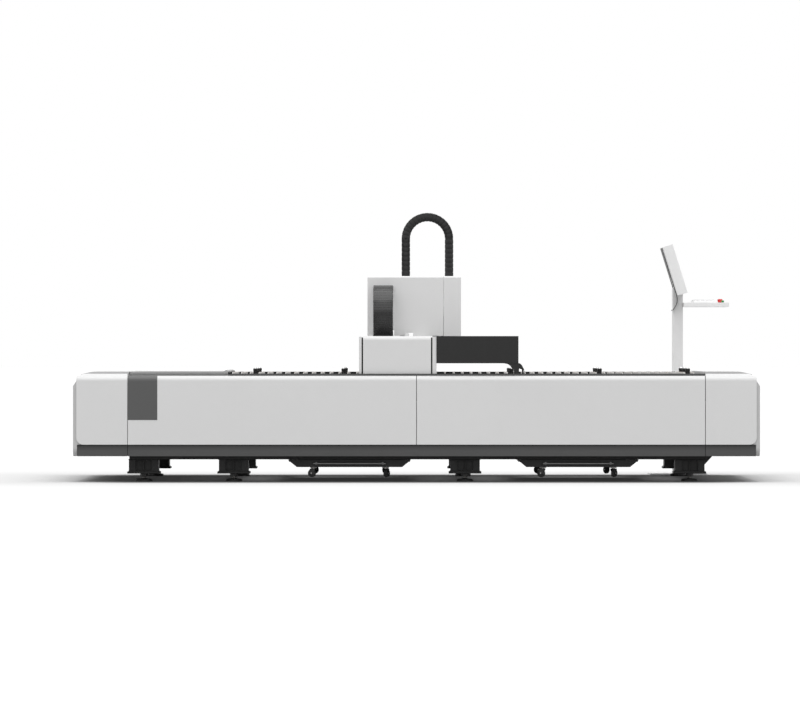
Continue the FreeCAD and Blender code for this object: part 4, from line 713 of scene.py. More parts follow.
grip_steel = painted("grip_steel", grey(122), 0.35, dirt=0.15, bump=0.1, metal=0.9)
tray_steel = ground("tray_steel", grey(92, 0.03), 0.55, scratches=(9.0, 120.0, 9.0), dirt=0.5)
for side in ("left", "right"):
    body = "drawer_" + side
    (left, front, _), (right, back, _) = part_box(body)
    front += 0.032
    lips = [slab(x - 0.0122, x + 0.0122, front + 0.015, back, 0.1415, 0.1445, 0.0006)
            for x in (left + 0.0125, right - 0.0125)]
    tray = [leaning_tray(left, right, front, back), sloped_front(left, right, front)]
    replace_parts(made("drawer_tray_" + side, tray + lips, body, drawer_paint), body)
    made("drawer_floor_" + side, [slab(left + 0.0565, right - 0.0565, front + 0.0085, back - 0.0045, 0.1038, 0.1050)],
         body, tray_steel)
    bar_left, bar_right, bar_z = left + 0.165, right - 0.165, 0.126
    grip = [turned_round([(0.0048, bar_left), (0.0060, bar_left + 0.0012), (0.0060, bar_right - 0.0012),
                          (0.0048, bar_right)], (0, front - 0.026, bar_z), 20, axis=0)]
    for x in (bar_left + 0.020, bar_right - 0.020):
        grip.append(turned_round([(0.0054, -0.026), (0.0054, -0.0026), (0.0095, -0.0024), (0.0105, -0.0014),
                                  (0.0105, 0.0005)], (x, front, bar_z), 20, axis=1))
    made("drawer_grip_" + side, grip, body, grip_steel)

# ---------------------------------------------------------------- casters
# Four swivel casters under each drawer: pressed fork, ball race, axle bolt and a rubber-tyred wheel.
# Blackened pressings on zinc-plated bolts and plates, each standing at the angle in which it was last rolled.


def fork_cheek(side):
    """Cheek plate of the fork: a tapered outline from the wide crown down to a round eye at the axle."""
    turn = np.linspace(np.radians(200), np.radians(340), 9)
    eye = np.stack([axle_place[1] + 0.0095 * np.cos(turn), axle_place[2] + 0.0095 * np.sin(turn)], -1)
    outline = np.vstack([[(-0.016, 0.0885)], [(-0.012, 0.078)], eye, [(0.024, 0.078)], [(0.024, 0.0885)]])
    inner, outer = side * 0.0112, side * 0.0138
    return skin([np.stack([np.full(len(outline), x), outline[:, 0], outline[:, 1]], -1) for x in (inner, outer)])


axle_place = (0, 0.012, 0.058)
tyre = turned_round([(0.0170, -0.0088), (0.0240, -0.0092), (0.0268, -0.0080), (0.0280, -0.0050), (0.0280, 0.0050),
                     (0.0268, 0.0080), (0.0240, 0.0092), (0.0170, 0.0088)], axle_place, 32, axis=0)
hub = turned_round([(0.0060, -0.0100), (0.0158, -0.0096), (0.0172, -0.0089), (0.0172, 0.0089), (0.0158, 0.0096),
                    (0.0060, 0.0100)], axle_place, 24, axis=0)
axle = turned_round([(0.0048, -0.0158), (0.0052, -0.0148), (0.0052, 0.0148), (0.0048, 0.0158)], axle_place, 6, axis=0)
crown = slab(-0.0140, 0.0140, -0.016, 0.024, 0.0868, 0.0900, 0.0008)
race = turned_round([(0.0100, 0.0895), (0.0120, 0.0910), (0.0120, 0.0955), (0.0105, 0.0974)], (0, 0, 0), 24)
top_plate = slab(-0.024, 0.024, -0.024, 0.024, 0.0972, 0.1008, 0.0010)
plate_bolts = repeated(turned_round([(0.0045, 0.0938), (0.0050, 0.0945), (0.0050, 0.0975)], (0, 0, 0), 6),
                       [(a, b, 0) for a in (-0.018, 0.018) for b in (-0.018, 0.018)])
tyre_rubber = painted("tyre_rubber", grey(44), 0.7, dirt=0.5, bump=0.4, grain=900)
near_row = middle_y - 1.0
caster_turns = (72.0, -40.0, 110.0, 40.0)
for side in ("left", "right"):
    body = "drawer_" + side
    low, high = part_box(body)
    spots = [(x, y) for y in (near_row, near_row + 1.29) for x in (low.x + 0.166, high.x - 0.166)]
    forks, fittings, tyres = [], [], []
    for (x, y), turn in zip(spots, caster_turns):
        tyres.append(swivelled(tyre, x, y, turn))
        forks += [swivelled(part, x, y, turn) for part in (hub, crown, fork_cheek(-1), fork_cheek(1))]
        fittings += [swivelled(part, x, y, turn) for part in (axle, race)]
        fittings += [swivelled(part, x, y, 0.0) for part in (top_plate, plate_bolts)]
    made("caster_tyres_" + side, tyres, body, tyre_rubber, smooth=40)
    made("caster_fittings_" + side, fittings, body, zinc)
    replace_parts(made("caster_forks_" + side, forks, body, blackened), "drawer_casters_" + side)

# ---------------------------------------------------------------- gantry ends
# A box at each end rides on the long rails and carries a drive motor under a deep white cover.
# Sheet and plate in white satin paint; black rubber fills the grooves between the cover and its cheeks, as painted
# shade for the shade deep in each groove.
box_paint = painted("gantry_box_paint", grey(214), 0.38, dirt=0.08, bump=0.1, spread=0.015)
eased("gantry_boxes", "gantry_end_boxes", box_paint, 0.0025)
eased("motor_covers", "gantry_covers", white_paint, 0.0012)
cover_low, cover_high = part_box("gantry_covers")
cover_left, cover_right, cheek_gap = -0.369, 0.100, 0.010
# Painted shade: black rubber strips darken the grooves beside the cover.
groove_shade_strips = []
for x in (cover_left - cheek_gap, cover_right):
    groove_shade_strips.append(slab(x + 0.0002, x + cheek_gap - 0.0002, middle_y + 1.018, cover_high.y - 0.022, cover_low.z + 0.012,
                        cover_high.z - 0.012, 0.001))
made("cover_groove_shade_strips", both_sides(groove_shade_strips), "gantry", rubber)

# ---------------------------------------------------------------- guide blocks on the long rails
# Two blocks under each end box straddle the rail, with green end seals and a grease nipple.
# Ground steel bodies; the end seals are moulded plastic, each in three pieces round the rail.
eased("long_guide_blocks", "x_guide_blocks", rail_steel, 0.0015)
seal_plastic = painted("seal_plastic", (0.03, 0.13, 0.08, 1), 0.45, dirt=0.1, bump=0.1)
seals, nipples = [], []
block_places, block_half, seal_depth = (-0.325, 0.055), 0.055, 0.0045
for centre in block_places:
    for y in (middle_y - rail_out, middle_y + rail_out):
        for sense in (-1, 1):
            face = centre + sense * block_half
            tip = face + sense * seal_depth
            x0, x1 = sorted((face, tip))
            for left, right, base in ((-0.0335, -0.0175, 0.7285), (0.0175, 0.0335, 0.7285), (-0.0175, 0.0175, 0.7465)):
                seals.append(slab(x0, x1, y + left, y + right, base, 0.7635, 0.0012))
            grow = sorted(((0.0035, tip), (0.0035, tip + sense * 0.005), (0.0018, tip + sense * 0.0065)),
                          key=lambda pair: pair[1])
            nipples.append(turned_round(grow, (0, y, 0.7555), 10, axis=0))
made("block_end_seals", seals, "gantry", seal_plastic)
made("block_grease_nipples", nipples, "gantry", zinc)

# ---------------------------------------------------------------- drive motors and pinions of the gantry
# A servo motor stands on each end box's shelf and turns a pinion in the rack below it.
# Black satin casting with cooling ribs and two round plugs; the pinion is ground steel.
motor_paint = painted("motor_paint", grey(30), 0.34, dirt=0.15, bump=0.2, gloss=0.35)
screw_form = turned_round([(0.0042, 0.0), (0.0042, 0.0036), (0.0037, 0.0042), (0.0022, 0.0042), (0.0019, 0.0018)],
                          (0, 0, 0), 6)


def servo(x, y, base, half, height, plug):
    """Parts of a servo motor: a square flange, a body with shallow ribs from a wavy square section, a connector
    cap, four corner screws and two plugs."""
    turn = np.linspace(0, 2 * np.pi, 96, endpoint=False)
    reach = half * 0.84 / np.maximum(np.abs(np.cos(turn)), np.abs(np.sin(turn))).clip(0.77)
    ribs = 1 - 0.018 * (np.cos(turn * 48) > 0)
    rings = []
    top = base + height - plug
    for z, shrink in ((base + 0.0118, 1.0), (top - 0.004, 1.0), (top, 0.95)):
        rings.append(np.stack([x + reach * ribs * shrink * np.cos(turn), y + reach * ribs * shrink * np.sin(turn),
                               np.full_like(turn, z)], -1))
    cap = half * 0.68
    parts = [skin(rings), slab(x - half, x + half, y - half, y + half, base, base + 0.012, 0.0015),
             slab(x - cap, x + cap, y - cap, y + cap, top - 0.001, base + height, 0.003)]
    plugs = [turned_round([(0.0085, 0.0), (0.0095, 0.001), (0.0095, 0.007), (0.0075, 0.0085)],
                          (x + s * half * 0.34, y, base + height - 0.0082), 18) for s in (-1, 1)]
    screws = [repeated(screw_form, [(x + a * half * 0.86, y + b * half * 0.86, base + 0.0118)
                                    for a in (-1, 1) for b in (-1, 1)])]
    return parts, plugs + screws


motor_parts, motor_fittings = [], []
motor_x, motor_half, plug_depth = -0.135, 0.045, 0.03
pinion_y = middle_of("x_pinion_far")[1]
for y in (pinion_y, 2 * middle_y - pinion_y):
    parts, fittings = servo(motor_x, y, 0.775, motor_half, 0.15, plug_depth)
    motor_parts += parts
    motor_fittings += fittings
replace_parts(made("gantry_motors", motor_parts, "gantry", motor_paint), "x_motors")
made("gantry_motor_plugs", motor_fittings, "gantry", zinc)


def pinion(name, body, x, y, base, shaft_top):
    """Spur pinion of thirty teeth on its shaft: each tooth is four points of the outline, two at the tip radius and
    two at the root radius, carried from the lower face to the upper one with a small chamfer."""
    teeth, tip, depth, thick = 30, 0.0299, 0.0042, 0.022
    phase = (np.arange(teeth)[:, None] + np.array([0.06, 0.34, 0.56, 0.84])[None]).reshape(-1) * 2 * np.pi / teeth
    reach = np.tile([tip, tip, tip - depth, tip - depth], teeth)
    rings = []
    for z, shrink in ((0.0, 0.0012), (0.0012, 0.0), (thick - 0.0012, 0.0), (thick, 0.0012)):
        rings.append(np.stack([x + (reach - shrink) * np.cos(phase), y + (reach - shrink) * np.sin(phase),
                               np.full_like(phase, base + z)], -1))
    shaft = [(0.0080, base + 0.0002), (0.0148, base + 0.0218), (0.0150, base + 0.0274), (0.0142, base + 0.0280),
             (0.0080, base + 0.0281), (0.0080, shaft_top)]
    wheel = made(name, [skin(rings), turned_round(shaft, (x, y, 0), 28)], body, rack_steel, smooth=20)
    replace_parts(wheel, body)


for side, y in (("near", 2 * middle_y - pinion_y), ("far", pinion_y)):
    pinion("gantry_pinion_" + side, "x_pinion_" + side, motor_x, y, 0.7190, 0.7848)

# ---------------------------------------------------------------- gantry beam
# Welded box beam between the end boxes, with the sheet tray of the cross chain along its top.
# White satin paint, a shade greyer than the covers.
eased("bridge_beam", "gantry_beam", box_paint, 0.002)

# ---------------------------------------------------------------- tow duct
# Square duct that leads the gantry's cables out to the claw, which tows the long chain along its trough.
# Black satin powder coat on folded sheet; the claw's two cheek plates clasp the chain's upper run.
duct_paint = painted("duct_paint", grey(30), 0.36, dirt=0.08, bump=0.12, gloss=0.3)
eased("tow_duct_sheets", "tow_duct", duct_paint, 0.0015)
chain_low, chain_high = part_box("x_chain_upper")
foot_z = chain_high.z + 0.0005
claw_outline = np.array([(0.6087, 0.8193), (0.6338, 0.8120), (0.6516, 0.7980), (0.6560, 0.7870), (0.6815, 0.7713),
                         (0.6815, foot_z), (0.7065, foot_z), (0.7085, 0.7835), (0.7404, 0.7713), (0.7426, foot_z),
                         (0.7500, foot_z), (0.7425, 0.7800), (0.7140, 0.8193)])
cheeks = [skin([[(x, y, z) for x, z in claw_outline] for y in faces])
          for faces in ((chain_low.y - 0.0027, chain_low.y + 0.0003), (chain_high.y - 0.0003, chain_high.y + 0.0027))]
made("claw_cheeks", cheeks, "gantry", duct_paint)

# ---------------------------------------------------------------- long drag chain
# Enclosed chain between the near trough and the claw: short box links that pivot on side pins.
# Black moulded plastic with a satin skin; each link tucks under the edge of the next.
chain_plastic = painted("chain_plastic", grey(30), 0.4, dirt=0.08, bump=0.1, grain=700, gloss=0.3)


def chain(name, body, start, ahead, outward, count, pitch, height, width, turn_radius=None, pin=0.24):
    """Row of box links along a straight run, or round an arc whose outer radius is turn_radius. A link is a ring
    of twelve points carried along six stations: full size for two thirds of the pitch, then stepped in by a
    millimetre where it enters the next link, and it has a round pin head on each side. start is the middle of the
    first link's outer face; ahead and outward are unit vectors, and on the arc both turn together about its
    centre."""
    ahead, outward, start = (np.asarray(v, float) for v in (ahead, outward, start))
    across = np.cross(ahead, outward)
    half, corner = width / 2, min(height, width) * 0.12
    nick = corner * 0.3

    def along_chain(links):
        """Middle of the outer face, and the directions ahead and outward, after a number of links."""
        if turn_radius is None:
            return start + ahead * (links * pitch), ahead, outward
        angle = links * pitch / turn_radius
        out = outward * np.cos(angle) + ahead * np.sin(angle)
        return (start - outward * turn_radius + out * turn_radius,
                ahead * np.cos(angle) - outward * np.sin(angle), out)

    ring = np.array([(-half + corner, 0), (half - corner, 0), (half - nick, -nick), (half, -corner),
                     (half, -height + corner), (half - nick, -height + nick), (half - corner, -height),
                     (-half + corner, -height), (-half + nick, -height + nick), (-half, -height + corner),
                     (-half, -corner), (-half + nick, -nick)])
    middle = np.array([0.0, -height / 2])
    parts = []
    for link in range(count):
        rings = []
        for station, inset in ((0.0, 0.0008), (0.02, 0.0), (0.70, 0.0), (0.74, 0.0008), (0.76, 0.0014), (1.06, 0.0014)):
            place, _, out = along_chain(link + station)
            section = (ring - middle) * (1 - 2 * inset / np.array([width, height])) + middle
            rings.append(place + section[:, :1] * across + section[:, 1:] * out)
        parts.append(skin(rings))
    turn = np.linspace(0, 2 * np.pi, 12, endpoint=False)[:, None]
    rim = height * pin
    for link in range(count):
        place, on, out = along_chain(link + 0.35)
        circle = np.cos(turn) * on + np.sin(turn) * out
        for sense in (-1, 1):
            rings = [place - out * height / 2 + across * sense * (half + reach) + size * circle
                     for reach, size in ((-0.001, rim), (-0.0002, rim), (0.0002, rim * 0.9))]
            parts.append(skin(rings))
    return made(name, parts, body, chain_plastic, smooth=38)


def rolling_chain(label, node, still, moving, axis, roll_x, roll_y, roll_z, radius, run_end, run_links, bend_links,
                  width, plastic):
    """Chain that rolls along an axis: a lower run on the still body, an upper run on the moving one and a bend
    between them. Both runs are as long as the joint's travel needs; each run is then unparented and left where it
    stands."""
    ahead = np.eye(3)[axis]
    middle = np.array((roll_x, roll_y, roll_z))
    pitch = (run_end - middle[axis] - clearance) / (run_links + overlap)
    mirror_end = 2 * middle[axis] - run_end
    for level, body, sense, ends in (("upper", moving, 1, (mirror_end, run_end)),
                                     ("lower", still, -1, (run_end, mirror_end))):
        outward = np.array((0, 0, sense))
        run = chain(label + "_chain_" + level + "_run", body, middle + outward * radius + ahead * clearance / 2, ahead,
                    outward, run_links, pitch, link_height, width)
        run.data.materials[0] = plastic
        run.parent = None
        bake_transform(run)
        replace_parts(run, node + "_" + level)
    bend = chain(label + "_chain_bend", node + "_bend", middle + (0, 0, radius), -ahead, (0, 0, 1), bend_links,
                 np.pi * radius / (bend_links + overlap), link_height, width, turn_radius=radius)
    bend.data.materials[0] = plastic
    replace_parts(bend, node + "_bend")


overlap, clearance, link_height = 0.06, 0.0006, 0.0394
rolling_chain("long", "x_chain", "bed", "gantry", 0, -0.027, middle_of("x_chain_bend")[1], 0.637, 0.0747,
              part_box("x_chain_lower")[1].x, 17, 5, 0.0594, chain_plastic)

# ---------------------------------------------------------------- cross rails and rack
# Two guide rails on the beam's front face and a rack on its top for the carriage's pinion.
# Ground and oiled steel, with pressed caps over the rail bolts.
cross_low, cross_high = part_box("y_rails_and_rack")
head = rail_section(0.012, 0.022)
cross_heights = (0.84, 0.96)
cross_parts = []
for z in cross_heights:
    ring = np.stack([0.07 + head[:, 1], np.zeros(len(head)), z + head[:, 0]], -1)
    cross_parts.append(skin([ring + (0, cross_low.y, 0), ring + (0, cross_high.y, 0)]))
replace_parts(made("cross_rails", cross_parts, "gantry", rail_steel), "y_rails_and_rack")
points, faces = rack_strip(cross_low.y + 0.0004, cross_high.y, -0.0349, -0.0306, -0.0102, 1.0002, 1.0278)
made("cross_rack", [(points[:, [1, 0, 2]] * (-1, 1, 1) - (0.0904, 0, 0), faces)], "gantry", rack_steel,
     smooth=15)
rack_ends = [slab(-0.0812, -0.0545, y, y + 0.0060, 0.9996, 1.0284, 0.0008)
             for y in (cross_low.y - 0.0055, cross_high.y - 0.0005)]
made("cross_rack_ends", rack_ends, "gantry", box_paint)
plug_form = turned_round([(0.0052, -0.001), (0.0052, 0.0), (0.0046, 0.0003), (0.0018, 0.0002)], (0, 0, 0), 10, axis=0)
cap_places = [(0.092, y, z) for y in np.arange(cross_low.y + 0.03, cross_high.y, 0.06) for z in cross_heights]
made("cross_rail_caps", [repeated(plug_form, cap_places)], "gantry", blackened)

# ---------------------------------------------------------------- cross drag chain
# The tall chain that follows the carriage across: it leaves a tray on the beam and rolls over into the saddle.
# Black moulded plastic, enclosed links, glossier than the other chains.
lid_plastic = painted("lid_plastic", grey(26), 0.28, dirt=0.04, bump=0.05, grain=700, gloss=0.6)
lid_low, lid_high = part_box("y_chain_bend")
roll_y, roll_radius, roll_links = middle_y - 0.555, 0.1797, 32
tray_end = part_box("y_chain_upper")[1].y
rolling_chain("cross", "y_chain", "gantry", "carriage", 1, middle_of("y_chain_bend")[0], roll_y, 1.185, roll_radius,
              tray_end, int((tray_end - roll_y) / (np.pi * roll_radius / roll_links)), roll_links,
              lid_high.x - lid_low.x - clearance, lid_plastic)

# ---------------------------------------------------------------- carriage frame
# Machined upright plate on four guide blocks, with the ribbed saddle that holds the cross drive's motor.
# Clear anodised aluminium, milled in passes that leave faint parallel marks, with blackened socket screws.
milled = ground("milled_aluminium", grey(206), 0.34, scratches=(8, 160, 160), dirt=0.04, swing=0.08)
eased("carriage_plates", "carriage_frame", milled, 0.0015)
eased("cross_guide_blocks", "y_guide_blocks", rail_steel, 0.0012)
face_screw = turned_round([(0.0050, 0.0), (0.0050, 0.0042), (0.0044, 0.0048), (0.0026, 0.0048), (0.0022, 0.0022)],
                          (0, 0, 0), 8, axis=0)
cross_blocks = (middle_y - 0.08, middle_y + 0.08)
plate_screws = [(0.1255, y + b, z + c) for y in cross_blocks for b in (-0.02, 0.02) for z in cross_heights
                for c in (-0.018, 0.018)]
made("carriage_plate_screws", [repeated(face_screw, plate_screws)], "carriage", blackened)
end_seals = []
for y in cross_blocks:
    for z in cross_heights:
        for sense in (-1, 1):
            y0, y1 = sorted((y + sense * 0.03, y + sense * 0.034))
            end_seals.append(slab(0.0935, 0.1105, y0, y1, z - 0.028, z + 0.028, 0.001))
made("cross_block_seals", end_seals, "carriage", seal_plastic)

# ---------------------------------------------------------------- cross drive
# Servo motor on the saddle with its pinion in the cross rack.
# Black satin casting and a ground steel pinion.
cross_x = -0.0903
parts, fittings = servo(cross_x, middle_y, 1.066, motor_half, 0.17, plug_depth)
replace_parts(made("cross_motor", parts, "carriage", motor_paint), "y_motor")
made("cross_motor_plugs", fittings, "carriage", zinc)
pinion("cross_pinion", "y_pinion", cross_x, middle_y, 1.0040, 1.0758)

# ---------------------------------------------------------------- carriage housing
# Two folded housings side by side: the wide one over the carriage, the narrow one travels with the head.
# White satin powder coat, a lighter white than the machine's as painted light against the shade the housings
# stand in; button-head screws hold them on the side away from the front.
# Painted light: a lighter copy of the white paint that makes up for the shade the housings stand in.
housing_lightened_paint = painted("housing_lightened_paint", grey(234), 0.36, dirt=0.05, bump=0.1, coat=0.15, spread=0.012)
eased("carriage_housing", "carriage_cover", housing_lightened_paint, 0.0012)
eased("housing_aprons", "carriage_aprons", housing_lightened_paint, 0.0003)
eased("head_housing", "z_cover", housing_lightened_paint, 0.0012)
button_form = turned_round([(0.0048, -0.0008), (0.0048, 0.0003), (0.0038, 0.0018), (0.0022, 0.0024),
                            (0.0018, 0.0012)], (0, 0, 0), 10, axis=1)
back_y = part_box("carriage_cover")[1].y
cover_screws = [(x, back_y - 0.0006, z) for x in (-0.325, -0.08, 0.165) for z in (1.075, 1.40)]
head_screws = [(x, back_y - 0.0006, z) for x in (0.21, 0.295) for z in (0.975, 1.19, 1.40)]
made("housing_screws", [repeated(button_form, cover_screws)], "carriage", zinc)
made("head_housing_screws", [repeated(button_form, head_screws)], "z_slide", zinc)

# ---------------------------------------------------------------- vertical slide
# The head's plate runs on two small rails and is driven by a ball screw from the motor above.
# Milled aluminium plate, ground rails and screw, black motor.
z_low, z_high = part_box("z_rails")
head = rail_section(0.010, 0.015)
small_rails = []
slide_rail_rows = (middle_y - 0.09, middle_y + 0.09)
for y in slide_rail_rows:
    ring = np.stack([0.13 + head[:, 1], y + head[:, 0], np.zeros(len(head))], -1)
    small_rails.append(skin([ring + (0, 0, z_low.z), ring + (0, 0, z_high.z)]))
small_plug = turned_round([(0.0040, -0.001), (0.0040, 0.0), (0.0034, 0.0003)], (0, 0, 0), 10, axis=0)
plug_places = [(0.145, y, z) for y in slide_rail_rows for z in np.arange(0.88, 1.36, 0.05)]
small_rails.append(repeated(small_plug, plug_places))
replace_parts(made("slide_rails", small_rails, "carriage", rail_steel), "z_rails")
screw_low, screw_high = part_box("z_screw")
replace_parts(made("ball_screw", [thread((0.153, middle_y), 0.0079, screw_low.z, screw_high.z, 0.01, 24)],
                 "z_screw", polished, smooth=60), "z_screw")
eased("slide_motor", "z_motor", motor_paint, 0.0015)
eased("slide_plate", "z_plate", milled, 0.0012)

# ---------------------------------------------------------------- cutting head
# Tall body with the collimator and fibre plug above, a lens drawer in its side and the sensor neck below.
# Milled aluminium with dark knurled rings, and a turned copper nozzle under a ceramic ring.
eased("cutting_head_body", "cutting_head", milled, 0.002)
head_x = 0.25
anodised = painted("dark_anodised", grey(52), 0.3, dirt=0.03, bump=0.08, metal=0.6)


def knurled(radius, z0, z1, teeth=60, depth=0.0005):
    """Knurled ring: a round whose radius alternates by the depth, closed at both ends with a small chamfer."""
    angle = np.linspace(0, 2 * np.pi, teeth * 2, endpoint=False)
    reach = radius - depth * (np.arange(teeth * 2) % 2)
    rings = [np.stack([head_x + (reach - cut) * np.cos(angle), middle_y + (reach - cut) * np.sin(angle),
                       np.full_like(angle, z)], -1)
             for z, cut in ((z0, 0.001), (z0 + 0.001, 0), (z1 - 0.001, 0), (z1, 0.001))]
    return skin(rings)


rings = [knurled(0.0310, 1.212, 1.226), knurled(0.0310, 1.238, 1.250), knurled(0.0145, 1.262, 1.280, 40),
         knurled(0.0255, 0.900, 0.912)]
made("head_rings", rings, "z_slide", anodised, smooth=20)
drawer_face = slab(head_x - 0.022, head_x + 0.022, middle_y - 0.0440, middle_y - 0.0415, 0.985, 1.025, 0.0012)
knobs = [turned_round([(0.0045, -0.0482), (0.0055, -0.0472), (0.0055, -0.0440)],
                      (head_x + s * 0.015, middle_y, 1.005), 16, axis=1) for s in (-1, 1)]
made("lens_drawer", [drawer_face] + knobs, "z_slide", anodised)
ceramic = painted("ceramic", grey(228, 0.02), 0.3, dirt=0.03, bump=0.05)
made("ceramic_ring", [turned_round([(0.0150, 0.8682), (0.0185, 0.8682), (0.0235, 0.8755), (0.0245, 0.8765),
                                    (0.0245, 0.8815), (0.0235, 0.8825)], (head_x, middle_y, 0), 36)],
     "z_slide", ceramic)
copper = ground("turned_copper", (0.74, 0.36, 0.2, 1), 0.26, scratches=(60, 60, 900), dirt=0.05)
tip = turned_round([(0.0008, 0.8312), (0.0008, 0.8302), (0.0036, 0.8300), (0.0042, 0.8306), (0.0128, 0.8528),
                    (0.0139, 0.8545), (0.0139, 0.8562), (0.0131, 0.8568), (0.0131, 0.8578), (0.0139, 0.8584),
                    (0.0139, 0.8668), (0.0133, 0.8679)], (head_x, middle_y, 0), 40)
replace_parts(made("copper_nozzle", [tip], "z_slide", copper, smooth=25), "nozzle")

# ---------------------------------------------------------------- head drag chain
# Arched chain that leads the fibre, gas and water lines over from the carriage to the head's housing.
# Black moulded links round a half circle, with straight legs down into the two housings.
arch_low, arch_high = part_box("z_chain")
arch_radius = (arch_high.x - arch_low.x) / 2
arch_y = middle_of("z_chain")[1]
arch_z, arch_width = arch_high.z - arch_radius, arch_high.y - arch_low.y - clearance
leg_links, crown_links, arch_depth, pin_share = 8, 17, 0.0597, 0.26
leg_pitch = (arch_z - arch_low.z) / (leg_links + overlap)
crown_pitch = np.pi * arch_radius / (crown_links + overlap)
arch_parts = [
    chain("arch_left_leg", "carriage", (arch_low.x, arch_y, arch_z), (0, 0, -1), (-1, 0, 0), leg_links, leg_pitch,
          arch_depth, arch_width, pin=pin_share),
    chain("arch_crown", "carriage", (arch_low.x, arch_y, arch_z), (0, 0, 1), (-1, 0, 0), crown_links, crown_pitch,
          arch_depth, arch_width, turn_radius=arch_radius, pin=pin_share),
    chain("arch_right_leg", "carriage", (arch_high.x, arch_y, arch_low.z + clearance), (0, 0, 1), (1, 0, 0), leg_links,
          leg_pitch, arch_depth, arch_width, pin=pin_share)]
whole = bmesh.new()
for part in arch_parts:
    whole.from_mesh(part.data)
    bpy.data.objects.remove(part)
arch_mesh = bpy.data.meshes.new("head_chain")
whole.to_mesh(arch_mesh)
whole.free()
head_chain = placed("head_chain", arch_mesh, "carriage", chain_plastic, smooth=38)
head_chain.parent = None
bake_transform(head_chain)
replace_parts(head_chain, "z_chain")

# ---------------------------------------------------------------- console
# Floor stand with a hollow column, a tilted monitor and a keyboard shelf with two push buttons.
# White satin sheet metal, a paler white than the machine's as painted light that makes it read brightly lit; the
# monitor has a black glass front and the keys are moulded grey plastic.
# Painted light: a paler copy of the machine's white paint, so the console reads as brightly lit.
console_lightened_paint = painted("console_lightened_paint", grey(246), 0.36, dirt=0.03, bump=0.1, coat=0.15, spread=0.01)
eased("console_column", "console_stand", console_lightened_paint, 0.0015)
eased("monitor_case", "monitor_housing", console_lightened_paint, 0.004)
eased("keyboard_shelf", "console_shelf", console_lightened_paint, 0.002)
key_plastic = painted("key_plastic", grey(214), 0.5, dirt=0.1, bump=0.2, grain=800)
shelf_top = 1.257
console_y = middle_of("console_shelf")[1]
keys = []
key_rows, row_pitch, row_width, key_base, key_top = 6, 0.0262, 0.384, 1.2722, 1.2788
for row in range(key_rows):
    x0 = 2.022 + row * row_pitch
    widths = [1.0] * 15 if row < key_rows - 1 else [1.3, 1.1, 1.1, 6.4, 1.1, 1.1, 1.1, 1.8]
    y0 = console_y - row_width / 2
    for width in widths:
        y1 = y0 + width * row_width / sum(widths)
        rings = [[(a, c, z), (b, c, z), (b, d, z), (a, d, z)] for a, b, c, d, z in (
            (x0 + 0.001, x0 + 0.0245, y0 + 0.0012, y1 - 0.0012, key_base),
            (x0 + 0.004, x0 + 0.0223, y0 + 0.0040, y1 - 0.0040, key_top))]
        keys.append(skin(rings))
        y0 = y1
made("keyboard_keys", keys, "bed", key_plastic, smooth=20)

# ---------------------------------------------------------------- monitor bracket
# Bent plate down the monitor's back that splits in two tongues, one down each side of the column.
# Dark grey satin paint on 4 mm plate, held to the case from inside; its dark colour is painted shade for the
# shaded back edge of the white monitor.


def bracket_strip(y0, y1, first, last):
    """Strip of the bent plate between two lengths of its path, which runs straight down the monitor's back, round
    an arc of 52 degrees with a radius of 0.1, and straight in to the column; it is as thick as the plate all along."""
    fall = np.linspace(first, last, 31)
    straight = np.clip(fall, 0, 0.362)[:, None] * np.array((0.2983, -0.9545))
    lean = np.radians(17.36 - 52 * np.clip((fall - 0.362) / 0.091, 0, 1))
    arc = 0.1 * np.stack([np.cos(lean) - 0.9545, np.sin(lean) - 0.2983], -1)
    tail = np.clip(fall - 0.453, 0, 0.03)[:, None] * np.array((-0.5684, -0.8228))
    path = np.array((1.7945, 1.6555)) + straight + arc + tail
    ahead = np.gradient(path, axis=0)
    out = np.stack([ahead[:, 1], -ahead[:, 0]], -1) / np.linalg.norm(ahead, axis=1)[:, None]
    rings = [np.stack([path[:, 0] + out[:, 0] * deep, np.full(len(path), y), path[:, 1] + out[:, 1] * deep], -1)
             for deep, y in ((0.0, y0), (0.004, y0), (0.004, y1), (0.0, y1))]
    return skin(np.stack(rings, 1))


# Painted shade: the bracket's dark grey stands for the shaded back edge of the white monitor.
bracket_shade_paint = painted("bracket_shade_paint", grey(70), 0.4, dirt=0.06, bump=0.12, gloss=0.3)
made("monitor_bracket", [bracket_strip(console_y - 0.13, console_y + 0.13, 0.0, 0.225),
                         bracket_strip(console_y - 0.13, console_y - 0.0902, 0.225, 0.483),
                         bracket_strip(console_y + 0.0902, console_y + 0.13, 0.225, 0.483)],
     "bed", bracket_shade_paint)

# ---------------------------------------------------------------- screen
# Glass front of the monitor with a plain layout on it: a sheet with nested outlines beside a column of tiles.
# Black glossy glass; the picture is drawn by formula from the screen's own height and width.
screen = frame["nodes"]["monitor_screen"]
glass = bpy.data.materials.new("screen_glass")
glass.use_nodes = True
tree, shader = nodes_of(glass)
screen_low, screen_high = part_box("monitor_screen")
place = coordinates(tree)
axes = shader_node(tree, "SeparateXYZ", {0: place})
across = scaled(tree, axes.outputs[1], 0.0, 1.0, screen_low.y, screen_high.y)
up = scaled(tree, axes.outputs[2], 0.0, 1.0, screen_low.z, screen_high.z)


def both(first, second, operation="MULTIPLY"):
    """Two masks multiplied, or joined by another operation."""
    return math(tree, operation, first, second)


def window(value, low, high):
    """1 where the value lies between low and high."""
    return both(math(tree, "GREATER_THAN", value, low), math(tree, "LESS_THAN", value, high))


def repeats(value, count):
    """The value's place within each of count equal parts, from 0 to 1."""
    return math(tree, "FRACT", math(tree, "MULTIPLY", value, float(count)))


